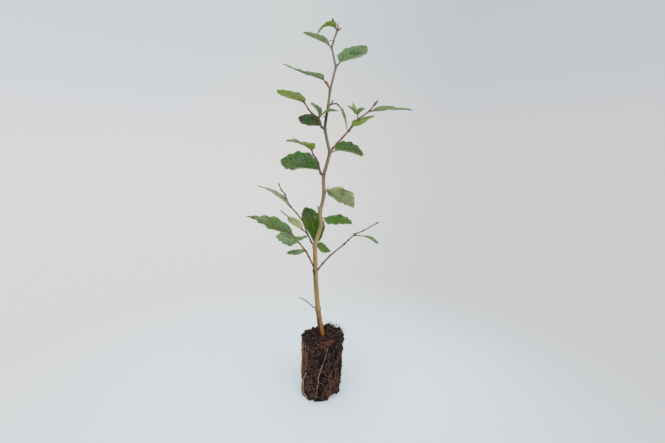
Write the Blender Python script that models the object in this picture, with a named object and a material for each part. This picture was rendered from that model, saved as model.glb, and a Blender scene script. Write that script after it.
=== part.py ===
"""Young beech raised in a peat plug: a zigzag stem, thin side shoots and 27 broad leaves.

Lengths are in metres and angles in degrees. The frame's origin is the middle of the plug's flat
underside, +Z is up and -Y is the side seen first. A heading is counted anticlockwise from +X as
seen from above, and a rise is counted up from level.
"""

import math
from dataclasses import dataclass

import bmesh
import bpy
from mathutils import Matrix, Vector, noise

for leftover in list(bpy.data.objects):
    bpy.data.objects.remove(leftover)

# Driving dimensions
PLUG_HEIGHT = 0.0745
PLUG_TOP_DIAMETER = 0.0500
PLUG_FOOT_DIAMETER = 0.0470
PLUG_TOP_SHIFT = 0.0032
PLUG_EDGE_RADIUS = 0.0035
PLUG_LUMPS = 0.0011
PLUG_SIDES = 28
PLUG_RINGS = 13
PLUG_CROWN = 0.0004
PLUG_CROWN_RINGS = (0.72, 0.42)
LUMPS_ROUND = 2.2
LUMPS_UP = 6.0
RIM_LUMPS = 3.0
CROWN_LUMPS = 160.0
FLANK_SEED = Vector((7.1, 3.3, 0.0))
RIM_SEED = Vector((1.7, 0.4, 5.0))
STEM_FOOT = Vector((0.0020, 0.0, 0.0740))
STEM_SOCKET_DEPTH = 0.0120
STEM_FOOT_RADIUS = 0.0028
KNOT_SWELLING = 0.16
KNOT_REACH = 0.0028
GAP = 0.0003
SHORTEST_STEP = 0.0008
SEARCH_STEP = 0.00005
RIM_POINTS = 12
LEAF_THICKNESS = 0.0008
LEAF_MIN_HALF_WIDTH = 0.0006
LEAF_BELLY = 0.88
LEAF_POINT_FROM = 0.35
LEAF_FULLNESS = 0.78
STALK_RADIUS = 0.00055
STALK_SINK = 0.0030

STEM_SIDES = 12
TWIG_SIDES = 6
STEPS_PER_INTERNODE = 4
LEAF_ROWS = 9
LEAF_COLUMNS = 4


@dataclass
class Internode:
    """A stretch of stem that bows from its first lean to its last, and drifts away from the viewer."""
    length: float
    lean: tuple
    drift: float
    diameter: float


@dataclass
class Leaf:
    """A blade on its own short stalk, which leaves the twig `at` this distance along it.

    `point` above 0 narrows the blade's outer half into a long tip, below 0 makes it blunt.
    """
    length: float
    width: float
    heading: float
    rise: float
    roll: float = 0.0
    arch: float = 0.0
    fold: float = 10.0
    twist: float = 0.0
    at: float = 0.0
    stalk: tuple = ()
    point: float = 0.0


@dataclass
class Bud:
    length: float
    heading: float
    rise: float
    at: float = 0.0
    radius: float = 0.0009


@dataclass
class Spray:
    """A twig from one knot of the stem with what grows on it; its bare first part is a bough."""
    name: str
    knot: int
    runs: tuple
    colour: str
    leaves: tuple = ()
    radii: tuple = (STALK_RADIUS, STALK_RADIUS)
    lift: float = 0.0
    bare: float = 0.0
    bough: str = ""
    buds: tuple = ()
    side_at: float = 0.0
    side_runs: tuple = ()
    side_leaves: tuple = ()


# Internode diameters are those at its upper end.
STEM = (
    Internode(length=0.0330, lean=(-9, -7), drift=1, diameter=0.0056),
    Internode(length=0.0485, lean=(-5, -2), drift=1, diameter=0.0053),
    Internode(length=0.0295, lean=(1, -2), drift=-2, diameter=0.0049),
    Internode(length=0.0265, lean=(14, 20), drift=-2, diameter=0.0043),
    Internode(length=0.0175, lean=(-6, -3), drift=1, diameter=0.0040),
    Internode(length=0.0225, lean=(20, 5), drift=2, diameter=0.0039),
    Internode(length=0.0195, lean=(-6, 3), drift=3, diameter=0.0037),
    Internode(length=0.0265, lean=(18, 13), drift=1, diameter=0.0034),
    Internode(length=0.0265, lean=(-14, -10), drift=-2, diameter=0.0030),
    Internode(length=0.0245, lean=(5, 13), drift=-2, diameter=0.0027),
    Internode(length=0.0185, lean=(7, 7), drift=-1, diameter=0.0026),
    Internode(length=0.0245, lean=(16, 13), drift=2, diameter=0.0023),
    Internode(length=0.0210, lean=(-12, -12), drift=3, diameter=0.0020),
    Internode(length=0.0185, lean=(15, 23), drift=2, diameter=0.0017),
)
COLLAR_DIAMETER = 0.0058

# Buds that sit on the bark itself, by knot
STEM_BUDS = {
    1: (Bud(length=0.0055, heading=0, rise=25, radius=0.0012),),
    4: (Bud(length=0.0045, heading=0, rise=35),),
    5: (Bud(length=0.0075, heading=180, rise=62),),
    14: (
        Bud(length=0.0090, heading=0, rise=84, radius=0.0008),
        Bud(length=0.0060, heading=0, rise=32, radius=0.0008),
    ),
}

SPRAYS = (
    Spray(
        name="twig_01_dead", knot=1, lift=0.0015, colour="grey_twig", radii=(0.0007, 0.0004),
        runs=((0.006, 195, 16), (0.009, 189, 46), (0.009, 197, 38), (0.005, 205, 19)),
    ),
    Spray(
        name="foliage_02_left", knot=2, lift=0.003, colour="leaf_deep", radii=(0.0010, 0.0005),
        bough="bough_02_left", bare=0.0220,
        runs=((0.005, 220, 50), (0.0125, 212, 63), (0.0085, 222, 61), (0.014, 215, 51),
              (0.012, 205, 53), (0.011, 206, 36), (0.0065, 203, 36)),
        leaves=(
            Leaf(at=0.0260, stalk=((0.0015, 200, 10),), length=0.029, width=0.018,
                 heading=150, rise=8, roll=-15, arch=40, fold=-20, twist=-15),
            Leaf(at=0.0510, stalk=((0.0025, 245, -10),), length=0.038, width=0.029,
                 heading=276, rise=0, roll=-20, arch=10, fold=20, twist=-30, point=-0.4),
            Leaf(at=0.0515, stalk=((0.0015, 150, 30),), length=0.056, width=0.035,
                 heading=178, rise=24, roll=-20, arch=5, fold=15, twist=-20),
        ),
        buds=(Bud(at=0.0680, length=0.0045, heading=203, rise=36, radius=0.0008),),
    ),
    Spray(
        name="foliage_02_right", knot=2, lift=-0.0005, colour="leaf_blue", radii=(0.0010, 0.0005),
        bough="bough_02_right", bare=0.0580,
        runs=((0.0035, 0, 25), (0.010, 5, 52), (0.012, 10, 46), (0.022, 10, 38), (0.0175, 12, 42),
              (0.011, 8, 20), (0.019, 10, 28)),
        leaves=(
            Leaf(at=0.0630, stalk=((0.0095, 355, -3), (0.004, 345, -4)), length=0.019, width=0.012,
                 heading=356, rise=-27, arch=5, fold=15, twist=-15),
        ),
        buds=(Bud(at=0.0945, length=0.0040, heading=10, rise=28, radius=0.0008),),
    ),
    Spray(
        name="foliage_03_left", knot=3, colour="leaf_pale", radii=(0.0010, 0.00045),
        bough="bough_03_left", bare=0.0175,
        runs=((0.0075, 130, 31), (0.013, 134, 51), (0.0155, 130, 59), (0.014, 155, 47),
              (0.012, 159, 44), (0.005, 149, 56), (0.011, 147, 65), (0.007, 162, 46),
              (0.0075, 155, 63)),
        leaves=(
            Leaf(at=0.0630, stalk=((0.002, 200, 30),), length=0.047, width=0.024,
                 heading=216, rise=48, arch=35, fold=5, twist=5),
        ),
        side_at=0.0195,
        side_runs=((0.011, 185, 43), (0.018, 188, 44), (0.014, 192, 40)),
        side_leaves=(
            Leaf(at=0.0080, stalk=((0.0025, 250, 10),), length=0.027, width=0.015,
                 heading=226, rise=40, roll=5, fold=10, twist=-25),
        ),
        buds=(Bud(at=0.0920, length=0.0035, heading=155, rise=63, radius=0.0007),),
    ),
    Spray(
        name="foliage_03_back", knot=3, lift=-0.0010, colour="leaf_deep", radii=(0.0010, 0.0008),
        runs=((0.0060, 88, 10),),
        leaves=(
            Leaf(at=0.0050, stalk=((0.0025, 105, 40),), length=0.052, width=0.030,
                 heading=94, rise=68, roll=50, arch=35, fold=15, twist=45),
            Leaf(at=0.0050, stalk=((0.0035, 50, 25),), length=0.024, width=0.012,
                 heading=56, rise=-34, roll=80, arch=-30, fold=0, twist=15),
        ),
    ),
    Spray(
        name="foliage_04_right", knot=4, lift=0.0085, colour="leaf_deep", runs=((0.0045, 0, 5),),
        leaves=(
            Leaf(at=0.0045, length=0.044, width=0.023,
                 heading=320, rise=-16, roll=30, arch=-30, fold=15, twist=25),
        ),
    ),
    Spray(
        name="foliage_06_right", knot=6, colour="leaf_pale", runs=((0.0042, 0, 15),),
        leaves=(
            Leaf(at=0.0042, length=0.038, width=0.027,
                 heading=24, rise=-22, roll=-40, arch=30, fold=15, twist=-25, point=-0.4),
        ),
        buds=(Bud(at=0.0036, length=0.0042, heading=0, rise=68, radius=0.0009),),
    ),
    Spray(
        name="foliage_07_left", knot=7, colour="leaf_deep", radii=(0.00095, 0.0006),
        runs=((0.0042, 214, 14), (0.006, 210, 76), (0.0065, 205, 80), (0.007, 180, 61),
              (0.0035, 180, 46), (0.0065, 151, 72)),
        leaves=(
            Leaf(at=0.0085, stalk=((0.0025, 200, 20),), length=0.055, width=0.036,
                 heading=154, rise=26, roll=-15, arch=30, fold=5, twist=40),
            Leaf(at=0.0320, stalk=((0.0015, 190, 60),), length=0.052, width=0.027,
                 heading=246, rise=16, roll=-10, arch=20, fold=15, twist=5, point=0.4),
        ),
    ),
    Spray(
        name="foliage_08_right", knot=8, lift=-0.0010, colour="leaf_deep",
        runs=((0.0085, 35, 22),),
        leaves=(
            Leaf(at=0.0085, length=0.045, width=0.029,
                 heading=38, rise=2, roll=20, arch=10, fold=20, twist=-35),
        ),
    ),
    Spray(
        name="foliage_08_tip", knot=8, lift=0.0005, colour="leaf_bright", radii=(0.0012, 0.0006),
        bough="bough_08_right", bare=0.0320,
        runs=((0.0125, 344, 46), (0.020, 345, 46), (0.0045, 350, 54), (0.0125, 353, 46),
              (0.0135, 0, 35), (0.014, 0, 52)),
        leaves=(
            Leaf(at=0.0370, stalk=((0.0020, 280, 25),), length=0.033, width=0.019,
                 heading=6, rise=44, roll=50, arch=60, fold=-10, twist=60),
            Leaf(at=0.0460, stalk=((0.007, 70, 72),), length=0.015, width=0.009,
                 heading=192, rise=50, roll=-5, arch=25, fold=5, twist=-5),
            Leaf(at=0.0460, stalk=((0.007, 70, 72),), length=0.015, width=0.009,
                 heading=192, rise=76, roll=110, arch=-20, fold=25, twist=-35),
            Leaf(at=0.0460, stalk=((0.007, 70, 72),), length=0.014, width=0.008,
                 heading=30, rise=62, roll=15, arch=55, fold=20, twist=-15),
            Leaf(at=0.0620, stalk=((0.004, 0, 10),), length=0.043, width=0.026,
                 heading=352, rise=4, roll=-10, arch=10, fold=10, twist=-30),
        ),
        buds=(Bud(at=0.0700, length=0.0085, heading=0, rise=52, radius=0.0012),),
    ),
    Spray(
        name="foliage_09_left", knot=9, colour="leaf_deep", radii=(0.0010, 0.0006),
        runs=((0.0038, 175, 26), (0.003, 165, 56), (0.0085, 147, 72), (0.0105, 160, 35),
              (0.0055, 164, 49), (0.0105, 155, 57)),
        leaves=(
            Leaf(at=0.0060, stalk=((0.0015, 260, 0),), length=0.036, width=0.020,
                 heading=148, rise=34, roll=-20, arch=30, fold=-5, twist=40),
            Leaf(at=0.0145, stalk=((0.006, 290, 15),), length=0.024, width=0.015,
                 heading=316, rise=30, roll=35, arch=50, fold=10, twist=5, point=0.4),
            Leaf(at=0.0155, stalk=((0.003, 60, 45),), length=0.025, width=0.013,
                 heading=120, rise=56, roll=20, arch=30, fold=35, twist=-5),
            Leaf(at=0.0400, stalk=((0.0015, 170, 40),), length=0.043, width=0.026,
                 heading=234, rise=2, roll=-10, arch=-10, fold=10, twist=-15),
        ),
    ),
    Spray(
        name="foliage_10_right", knot=10, colour="leaf_blue",
        runs=((0.0040, 350, 35), (0.0065, 335, 3), (0.0042, 325, -36)),
        leaves=(
            Leaf(at=0.0147, length=0.028, width=0.013,
                 heading=28, rise=-54, roll=20, arch=25, fold=5, point=0.5),
        ),
        buds=(Bud(at=0.0040, length=0.0060, heading=0, rise=62, radius=0.0008),),
    ),
    Spray(
        name="foliage_11_left", knot=11, colour="leaf_blue", runs=((0.0125, 185, 53),),
        leaves=(
            Leaf(at=0.0125, length=0.053, width=0.032,
                 heading=220, rise=2, roll=-5, arch=-10, fold=15, twist=30, point=0.75),
        ),
        buds=(Bud(at=0.0030, length=0.0080, heading=180, rise=66, radius=0.0011),),
    ),
    Spray(
        name="foliage_12_right", knot=12, colour="leaf_blue", runs=((0.0075, 5, 47),),
        leaves=(
            Leaf(at=0.0075, length=0.051, width=0.029,
                 heading=44, rise=32, roll=15, fold=5, twist=-20),
        ),
    ),
    Spray(
        name="foliage_13_left", knot=13, colour="leaf_blue", runs=((0.0045, 200, 35),),
        leaves=(
            Leaf(at=0.0045, length=0.037, width=0.017,
                 heading=226, rise=4, roll=-15, fold=15, twist=-10),
        ),
    ),
    Spray(
        name="foliage_14_top", knot=14, colour="leaf_bright", runs=((0.0035, 215, 45),),
        leaves=(
            Leaf(at=0.0035, length=0.033, width=0.016,
                 heading=234, rise=2, roll=-10, arch=60, fold=15, twist=-45),
        ),
    ),
)

# Base colour (linear), roughness
PALETTE = {
    "peat": ((0.035, 0.017, 0.013), 0.95),
    "bark": ((0.300, 0.195, 0.085), 0.62),
    "grey_twig": ((0.220, 0.150, 0.130), 0.75),
    "brown_twig": ((0.160, 0.095, 0.065), 0.65),
    "leaf_deep": ((0.075, 0.150, 0.035), 0.42),
    "leaf_blue": ((0.130, 0.240, 0.105), 0.45),
    "leaf_bright": ((0.220, 0.330, 0.045), 0.42),
    "leaf_pale": ((0.330, 0.420, 0.200), 0.60),
}


def material(colour):
    mat = bpy.data.materials.get(colour)
    if mat is None:
        base, roughness = PALETTE[colour]
        mat = bpy.data.materials.new(colour)
        mat.use_nodes = True
        shader = mat.node_tree.nodes["Principled BSDF"]
        shader.inputs["Base Color"].default_value = (*base, 1.0)
        shader.inputs["Roughness"].default_value = roughness
        shader.inputs["Metallic"].default_value = 0.0
    return mat


def make_object(name, bm, colour, sharp_angle=40):
    """Turn a finished bmesh into a named object of the scene."""
    bmesh.ops.recalc_face_normals(bm, faces=bm.faces)
    mesh = bpy.data.meshes.new(name)
    bm.to_mesh(mesh)
    bm.free()
    mesh.materials.append(material(colour))
    mesh.shade_smooth()
    mesh.set_sharp_from_angle(angle=math.radians(sharp_angle))
    obj = bpy.data.objects.new(name, mesh)
    bpy.context.scene.collection.objects.link(obj)
    return obj


def direction(heading, rise):
    heading, rise = math.radians(heading), math.radians(rise)
    level = math.cos(rise)
    return Vector((level * math.cos(heading), level * math.sin(heading), math.sin(rise)))


def grow(start, runs):
    """Path of a twig that starts here and follows its runs of (length, heading, rise)."""
    path = [Vector(start)]
    for length, heading, rise in runs:
        path.append(path[-1] + direction(heading, rise) * length)
    return path


def path_length(path):
    return sum((b - a).length for a, b in zip(path, path[1:]))


def point_along(path, distance):
    for a, b in zip(path, path[1:]):
        run = (b - a).length
        if distance <= run:
            return a.lerp(b, distance / run)
        distance -= run
    return path[-1].copy()


def stretch(path, start, end):
    """The part of a path between two distances along it."""
    kept = [point_along(path, start)]
    travelled = 0.0
    for a, b in zip(path, path[1:]):
        travelled += (b - a).length
        if start + SHORTEST_STEP < travelled < end - SHORTEST_STEP:
            kept.append(b.copy())
    kept.append(point_along(path, end))
    return kept


def tube(path, radii, sides):
    """Closed tube along a path: each ring is square to the path's mean direction there."""
    bm = bmesh.new()
    rings = []
    across = None
    for i, centre in enumerate(path):
        before = path[max(i - 1, 0)]
        after = path[min(i + 1, len(path) - 1)]
        along = (after - before).normalized()
        if across is None:
            across = along.orthogonal().normalized()
        across = (across - along * across.dot(along)).normalized()
        other = along.cross(across)
        ring = []
        for k in range(sides):
            turn = 2 * math.pi * k / sides
            spoke = across * math.cos(turn) + other * math.sin(turn)
            ring.append(bm.verts.new(centre + spoke * radii[i]))
        rings.append(ring)
    for low, high in zip(rings, rings[1:]):
        for k in range(sides):
            n = (k + 1) % sides
            bm.faces.new((low[k], low[n], high[n], high[k]))
    bm.faces.new(reversed(rings[0]))
    bm.faces.new(rings[-1])
    return bm


def tapered(path, first, last):
    """Radii that go evenly from the first to the last along a path."""
    whole = path_length(path)
    return [first + (last - first) * path_length(path[:i + 1]) / whole for i in range(len(path))]


def stem_axis():
    """The stem's knots, and the points of its axis with the bark's radius at each, from the collar up."""
    knots = [STEM_FOOT.copy()]
    points = [STEM_FOOT.copy()]
    radii = [COLLAR_DIAMETER / 2]
    for part in STEM:
        first = radii[-1]
        last = part.diameter / 2
        step = part.length / STEPS_PER_INTERNODE
        for i in range(STEPS_PER_INTERNODE):
            share = (i + 0.5) / STEPS_PER_INTERNODE
            lean = math.radians(part.lean[0] + (part.lean[1] - part.lean[0]) * share)
            drift = math.radians(part.drift)
            points.append(points[-1] + Vector((math.sin(lean), math.sin(drift), math.cos(lean))) * step)
            radii.append(first + (last - first) * (i + 1) / STEPS_PER_INTERNODE)
        knots.append(points[-1].copy())
    for i, point in enumerate(points[1:], 1):
        nearest = min((point - knot).length for knot in knots[1:])
        radii[i] *= 1 + KNOT_SWELLING * math.exp(-(nearest / KNOT_REACH) ** 2)
    return knots, points, radii


KNOTS, AXIS, BARK_RADII = stem_axis()


def bud_bmesh(start, bud):
    """A spindle with a blunt foot and a fine tip."""
    way = direction(bud.heading, bud.rise)
    shares = (0.0, 0.25, 0.55, 0.8, 1.0)
    girth = (0.55, 0.95, 1.0, 0.6, 0.12)
    path = [start + way * (bud.length * s) for s in shares]
    return tube(path, [bud.radius * g for g in girth], TWIG_SIDES)


def blade_bmesh(base, leaf):
    """A thin closed blade, bent along its midrib, folded on it and twisted about it."""
    ahead = direction(leaf.heading, leaf.rise)
    upright = (Vector((0, 0, 1)) - ahead * ahead.z).normalized()
    sideways = ahead.cross(upright)
    roll = math.radians(leaf.roll)
    up = upright * math.cos(roll) + sideways * math.sin(roll)
    side = sideways * math.cos(roll) - upright * math.sin(roll)
    arch = math.radians(leaf.arch) or 1e-6
    fold = math.radians(leaf.fold)
    bm = bmesh.new()
    upper, lower = [], []
    for i in range(LEAF_ROWS + 1):
        t = i / LEAF_ROWS
        bend = arch * t
        spine = ahead * (leaf.length * math.sin(bend) / arch)
        spine -= up * (leaf.length * (1 - math.cos(bend)) / arch)
        lifted = up * math.cos(bend) + ahead * math.sin(bend)
        turn = math.radians(leaf.twist) * t
        out = side * math.cos(turn) + lifted * math.sin(turn)
        top = lifted * math.cos(turn) - side * math.sin(turn)
        fullness = max(math.sin(math.pi * t ** LEAF_BELLY), 0.0) ** LEAF_FULLNESS
        outer = min(max((t - LEAF_POINT_FROM) / LEAF_POINT_FROM, 0.0), 1.0)
        taper = 1.0 - leaf.point * outer ** 2 * (3.0 - 2.0 * outer)
        half = max(leaf.width / 2 * fullness * taper, LEAF_MIN_HALF_WIDTH)
        for row, face in ((upper, 0.5), (lower, -0.5)):
            line = []
            for k in range(LEAF_COLUMNS + 1):
                v = 2 * k / LEAF_COLUMNS - 1
                point = base + spine + out * (v * half * math.cos(fold))
                point += top * (abs(v) * half * math.sin(fold) + face * LEAF_THICKNESS)
                line.append(bm.verts.new(point))
            row.append(line)
    for a, b in zip(range(LEAF_ROWS), range(1, LEAF_ROWS + 1)):
        for k in range(LEAF_COLUMNS):
            bm.faces.new((upper[a][k], upper[b][k], upper[b][k + 1], upper[a][k + 1]))
            bm.faces.new((lower[a][k], lower[a][k + 1], lower[b][k + 1], lower[b][k]))
        for k in (0, LEAF_COLUMNS):
            bm.faces.new((upper[a][k], lower[a][k], lower[b][k], upper[b][k]))
    for i in (0, LEAF_ROWS):
        for k in range(LEAF_COLUMNS):
            bm.faces.new((upper[i][k], upper[i][k + 1], lower[i][k + 1], lower[i][k]))
    return bm


def leaf_pieces(twig, leaf):
    """The stalk, sunk into the twig and the blade, and the blade."""
    foot = point_along(twig, leaf.at)
    stalk = grow(foot, leaf.stalk)
    base = stalk[-1].copy()
    stalk.append(base + direction(leaf.heading, leaf.rise) * STALK_SINK)
    return [
        tube(stalk, [STALK_RADIUS] * len(stalk), TWIG_SIDES),
        blade_bmesh(base, leaf),
    ]


def fuse(name, pieces, colour):
    """Join overlapping closed pieces into one body with a single union."""
    body = make_object(name, pieces[0], colour)
    if len(pieces) == 1:
        return body
    others = bpy.data.collections.new(name + "_pieces")
    bpy.context.scene.collection.children.link(others)
    for i, bm in enumerate(pieces[1:]):
        piece = make_object(f"{name}_piece_{i}", bm, colour)
        bpy.context.scene.collection.objects.unlink(piece)
        others.objects.link(piece)
    union = body.modifiers.new("union", "BOOLEAN")
    union.operation = "UNION"
    union.solver = "EXACT"
    union.operand_type = "COLLECTION"
    union.collection = others
    bpy.context.view_layer.update()
    fused = bpy.data.meshes.new_from_object(body.evaluated_get(bpy.context.evaluated_depsgraph_get()))
    body.modifiers.remove(union)
    body.data = fused
    fused.name = name
    for piece in list(others.objects):
        bpy.data.objects.remove(piece)
    bpy.data.collections.remove(others)
    return body


def bark_clearance(point):
    """Distance from a point to the stem's bark."""
    nearest = math.inf
    for i in range(len(AXIS) - 1):
        along = AXIS[i + 1] - AXIS[i]
        share = (point - AXIS[i]).dot(along) / along.length_squared
        share = min(max(share, 0.0), 1.0)
        radius = BARK_RADII[i] + (BARK_RADII[i + 1] - BARK_RADII[i]) * share
        nearest = min(nearest, (point - AXIS[i] - along * share).length - radius)
    return nearest


def clear_of_stem(path, radius):
    """How far along a path that starts in the stem a flat-ended twig stands off the bark by the gap."""
    start = 0.0
    while True:
        start += SEARCH_STEP
        centre = point_along(path, start)
        along = (point_along(path, start + SEARCH_STEP) - centre).normalized()
        across = along.orthogonal().normalized() * radius
        rim = [centre + Matrix.Rotation(math.tau * k / RIM_POINTS, 3, along) @ across
               for k in range(RIM_POINTS)]
        if min(bark_clearance(point) for point in rim) >= GAP:
            return start


def build_spray(spray):
    """The bough, where there is one, and the twig with its leaves and buds as one body."""
    path = grow(KNOTS[spray.knot] + Vector((0, 0, spray.lift)), spray.runs)
    first, last = spray.radii
    start = clear_of_stem(path, first)
    if spray.bare:
        share = spray.bare / path_length(path)
        middle = first + (last - first) * share
        bare = stretch(path, start, spray.bare)
        fuse(spray.bough, [tube(bare, tapered(bare, first, middle), TWIG_SIDES)], "brown_twig")
        first, start = middle, spray.bare + GAP
    twig = stretch(path, start, path_length(path))
    pieces = [tube(twig, tapered(twig, first, last), TWIG_SIDES)]
    for leaf in spray.leaves:
        pieces += leaf_pieces(path, leaf)
    for bud in spray.buds:
        pieces.append(bud_bmesh(point_along(path, bud.at), bud))
    if spray.side_runs:
        side = grow(point_along(path, spray.side_at), spray.side_runs)
        pieces.append(tube(side, tapered(side, STALK_RADIUS, STALK_RADIUS * 0.9), TWIG_SIDES))
        for leaf in spray.side_leaves:
            pieces += leaf_pieces(side, leaf)
    return fuse(spray.name, pieces, spray.colour)


def build_stem():
    """The whole stem, swollen at its knots, with its foot in the plug and the buds on its bark."""
    foot = STEM_FOOT - Vector((0, 0, STEM_SOCKET_DEPTH))
    collar = STEM_FOOT - Vector((0, 0, GAP))
    path = [foot, collar] + AXIS[1:]
    pieces = [tube(path, [STEM_FOOT_RADIUS, STEM_FOOT_RADIUS] + BARK_RADII[1:], STEM_SIDES)]
    for knot, buds in STEM_BUDS.items():
        for bud in buds:
            pieces.append(bud_bmesh(KNOTS[knot], bud))
    return fuse("stem", pieces, "bark")


def build_plug():
    """Peat held by roots: a lumpy tapered cylinder that leans a little, with a flat underside and a
    socket for the stem."""
    bm = bmesh.new()
    loops = []
    for i in range(PLUG_RINGS + 1):
        share = i / PLUG_RINGS
        z = PLUG_HEIGHT * share
        centre = Vector((PLUG_TOP_SHIFT * share, 0, z))
        radius = (PLUG_FOOT_DIAMETER + (PLUG_TOP_DIAMETER - PLUG_FOOT_DIAMETER) * share) / 2
        edge = max(PLUG_EDGE_RADIUS - z, 0.0)
        radius -= PLUG_EDGE_RADIUS - math.sqrt(max(PLUG_EDGE_RADIUS ** 2 - edge ** 2, 0.0))
        loop = []
        for k in range(PLUG_SIDES):
            turn = 2 * math.pi * k / PLUG_SIDES
            spoke = Vector((math.cos(turn), math.sin(turn), 0))
            lump = noise.noise(spoke * LUMPS_ROUND + FLANK_SEED + Vector((0, 0, share * LUMPS_UP)))
            place = centre + spoke * (radius + PLUG_LUMPS * lump)
            if i == PLUG_RINGS:
                place.z += PLUG_LUMPS * noise.noise(spoke * RIM_LUMPS + RIM_SEED)
            loop.append(bm.verts.new(place))
        loops.append(loop)
    for low, high in zip(loops, loops[1:]):
        for k in range(PLUG_SIDES):
            n = (k + 1) % PLUG_SIDES
            bm.faces.new((low[k], low[n], high[n], high[k]))
    bm.faces.new(reversed(loops[0]))
    top = Vector((PLUG_TOP_SHIFT, 0, PLUG_HEIGHT + PLUG_CROWN))
    inner = loops[-1]
    for share in PLUG_CROWN_RINGS:
        ring = []
        for vert in loops[-1]:
            place = top + (vert.co - top) * share
            place.z = vert.co.z + PLUG_CROWN + PLUG_LUMPS * noise.noise(place * CROWN_LUMPS)
            ring.append(bm.verts.new(place))
        for k in range(PLUG_SIDES):
            n = (k + 1) % PLUG_SIDES
            bm.faces.new((inner[k], inner[n], ring[n], ring[k]))
        inner = ring
    middle = bm.verts.new(top)
    for k in range(PLUG_SIDES):
        bm.faces.new((inner[k], inner[(k + 1) % PLUG_SIDES], middle))
    plug = make_object("root_plug", bm, "peat")
    cut_socket(plug)
    return plug


def cut_socket(plug):
    """The hole in the peat that the stem's foot stands in."""
    mouth_clearance = 0.010
    bottom = STEM_FOOT.z - STEM_SOCKET_DEPTH - GAP
    depth = PLUG_HEIGHT + mouth_clearance - bottom
    bm = bmesh.new()
    bmesh.ops.create_cone(
        bm, cap_ends=True, segments=STEM_SIDES, depth=depth,
        radius1=COLLAR_DIAMETER / 2 + GAP, radius2=COLLAR_DIAMETER / 2 + GAP,
        matrix=Matrix.Translation((STEM_FOOT.x, STEM_FOOT.y, bottom + depth / 2)),
    )
    cutter = make_object("socket_cutter", bm, "peat")
    cutter.hide_render = True
    cutter.display_type = "WIRE"
    cut = plug.modifiers.new("socket", "BOOLEAN")
    cut.operation = "DIFFERENCE"
    cut.solver = "EXACT"
    cut.object = cutter


build_plug()
build_stem()
for spray in SPRAYS:
    build_spray(spray)
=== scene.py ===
import bisect
import math
import random
from dataclasses import dataclass

import bmesh
import bpy
from mathutils import Matrix, Vector, noise


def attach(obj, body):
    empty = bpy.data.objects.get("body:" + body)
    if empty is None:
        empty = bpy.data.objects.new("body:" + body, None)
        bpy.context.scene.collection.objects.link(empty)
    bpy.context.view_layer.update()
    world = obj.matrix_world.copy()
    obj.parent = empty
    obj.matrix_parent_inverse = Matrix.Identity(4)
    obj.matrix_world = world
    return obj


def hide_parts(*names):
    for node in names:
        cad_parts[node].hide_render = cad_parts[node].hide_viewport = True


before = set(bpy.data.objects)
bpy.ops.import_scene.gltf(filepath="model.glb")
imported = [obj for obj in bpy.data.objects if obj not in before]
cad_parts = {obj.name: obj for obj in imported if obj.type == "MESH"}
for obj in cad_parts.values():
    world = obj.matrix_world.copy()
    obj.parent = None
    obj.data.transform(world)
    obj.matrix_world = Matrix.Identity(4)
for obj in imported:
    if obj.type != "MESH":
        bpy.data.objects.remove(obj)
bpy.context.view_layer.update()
scene = bpy.context.scene

# Camera: a short lens close to the plant, at the height of its middle and looking slightly down on
# the plug.
camera_data = bpy.data.cameras.new("camera")
camera_data.sensor_width = 36.0
camera_data.lens = 18.46
camera_data.clip_start = 0.01
camera = bpy.data.objects.new("camera", camera_data)
camera.location = (0.0151, -0.3954, 0.2708)
camera.rotation_euler = (math.radians(81.9), 0.0, 0.0)
scene.collection.objects.link(camera)
scene.camera = camera
scene.view_settings.view_transform = "Standard"

# Floor: a plain matt white board. It is as bright as the air behind it, a little dimmer on the right, so
# no edge shows between them. Painted light makes it a little brighter near the plant, and it glows a little,
# painted light that lightens the shadows on it.
class Term:
    """A number inside a node tree that plain arithmetic works on."""

    def __init__(self, tree, socket):
        self.tree = tree
        self.socket = socket

    def reckon(self, operation, *others):
        node = self.tree.nodes.new("ShaderNodeMath")
        node.operation = operation
        for socket, item in zip(node.inputs, (self, *others)):
            feed(self.tree, socket, item)
        return Term(self.tree, node.outputs[0])

    def __add__(self, other):
        return self.reckon("ADD", other)

    def __sub__(self, other):
        return self.reckon("SUBTRACT", other)

    def __mul__(self, other):
        return self.reckon("MULTIPLY", other)

    def __truediv__(self, other):
        return self.reckon("DIVIDE", other)

    def __pow__(self, other):
        return self.reckon("POWER", other)

    def __neg__(self):
        return self.reckon("MULTIPLY", -1.0)

    def __rsub__(self, other):
        return -self + other

    __radd__ = __add__
    __rmul__ = __mul__

    def sin(self):
        return self.reckon("SINE")

    def cos(self):
        return self.reckon("COSINE")

    def abs(self):
        return self.reckon("ABSOLUTE")

    def fraction(self):
        return self.reckon("FRACT")

    def at_least(self, low):
        return self.reckon("MAXIMUM", low)

    def at_most(self, high):
        return self.reckon("MINIMUM", high)

    def ramp(self, start, end):
        """0 up to the start, 1 from the end on, smooth between them."""
        node = put(self.tree, "ShaderNodeMapRange", interpolation_type="SMOOTHSTEP")
        feed(self.tree, node.inputs["Value"], self)
        node.inputs["From Min"].default_value = start
        node.inputs["From Max"].default_value = end
        return Term(self.tree, node.outputs["Result"])


def feed(tree, socket, item):
    """Give a socket a value, or link it to what gives one."""
    if isinstance(item, Term):
        tree.links.new(item.socket, socket)
    elif isinstance(item, bpy.types.NodeSocket):
        tree.links.new(item, socket)
    else:
        socket.default_value = item


def put(tree, kind, feeds=None, **choices):
    """Add a node with these choices and feed its sockets by name."""
    node = tree.nodes.new(kind)
    for name, choice in choices.items():
        setattr(node, name, choice)
    for name, item in (feeds or {}).items():
        feed(tree, next(s for s in node.inputs if s.enabled and s.name == name), item)
    return node


def rgb(colour):
    return (*colour, 1.0)


def blend(tree, share, first, second):
    """A colour between two, by share."""
    node = put(tree, "ShaderNodeMix", {"Factor": share}, data_type="RGBA")
    feed(tree, node.inputs[6], first)
    feed(tree, node.inputs[7], second)
    return node.outputs[2]


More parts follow.
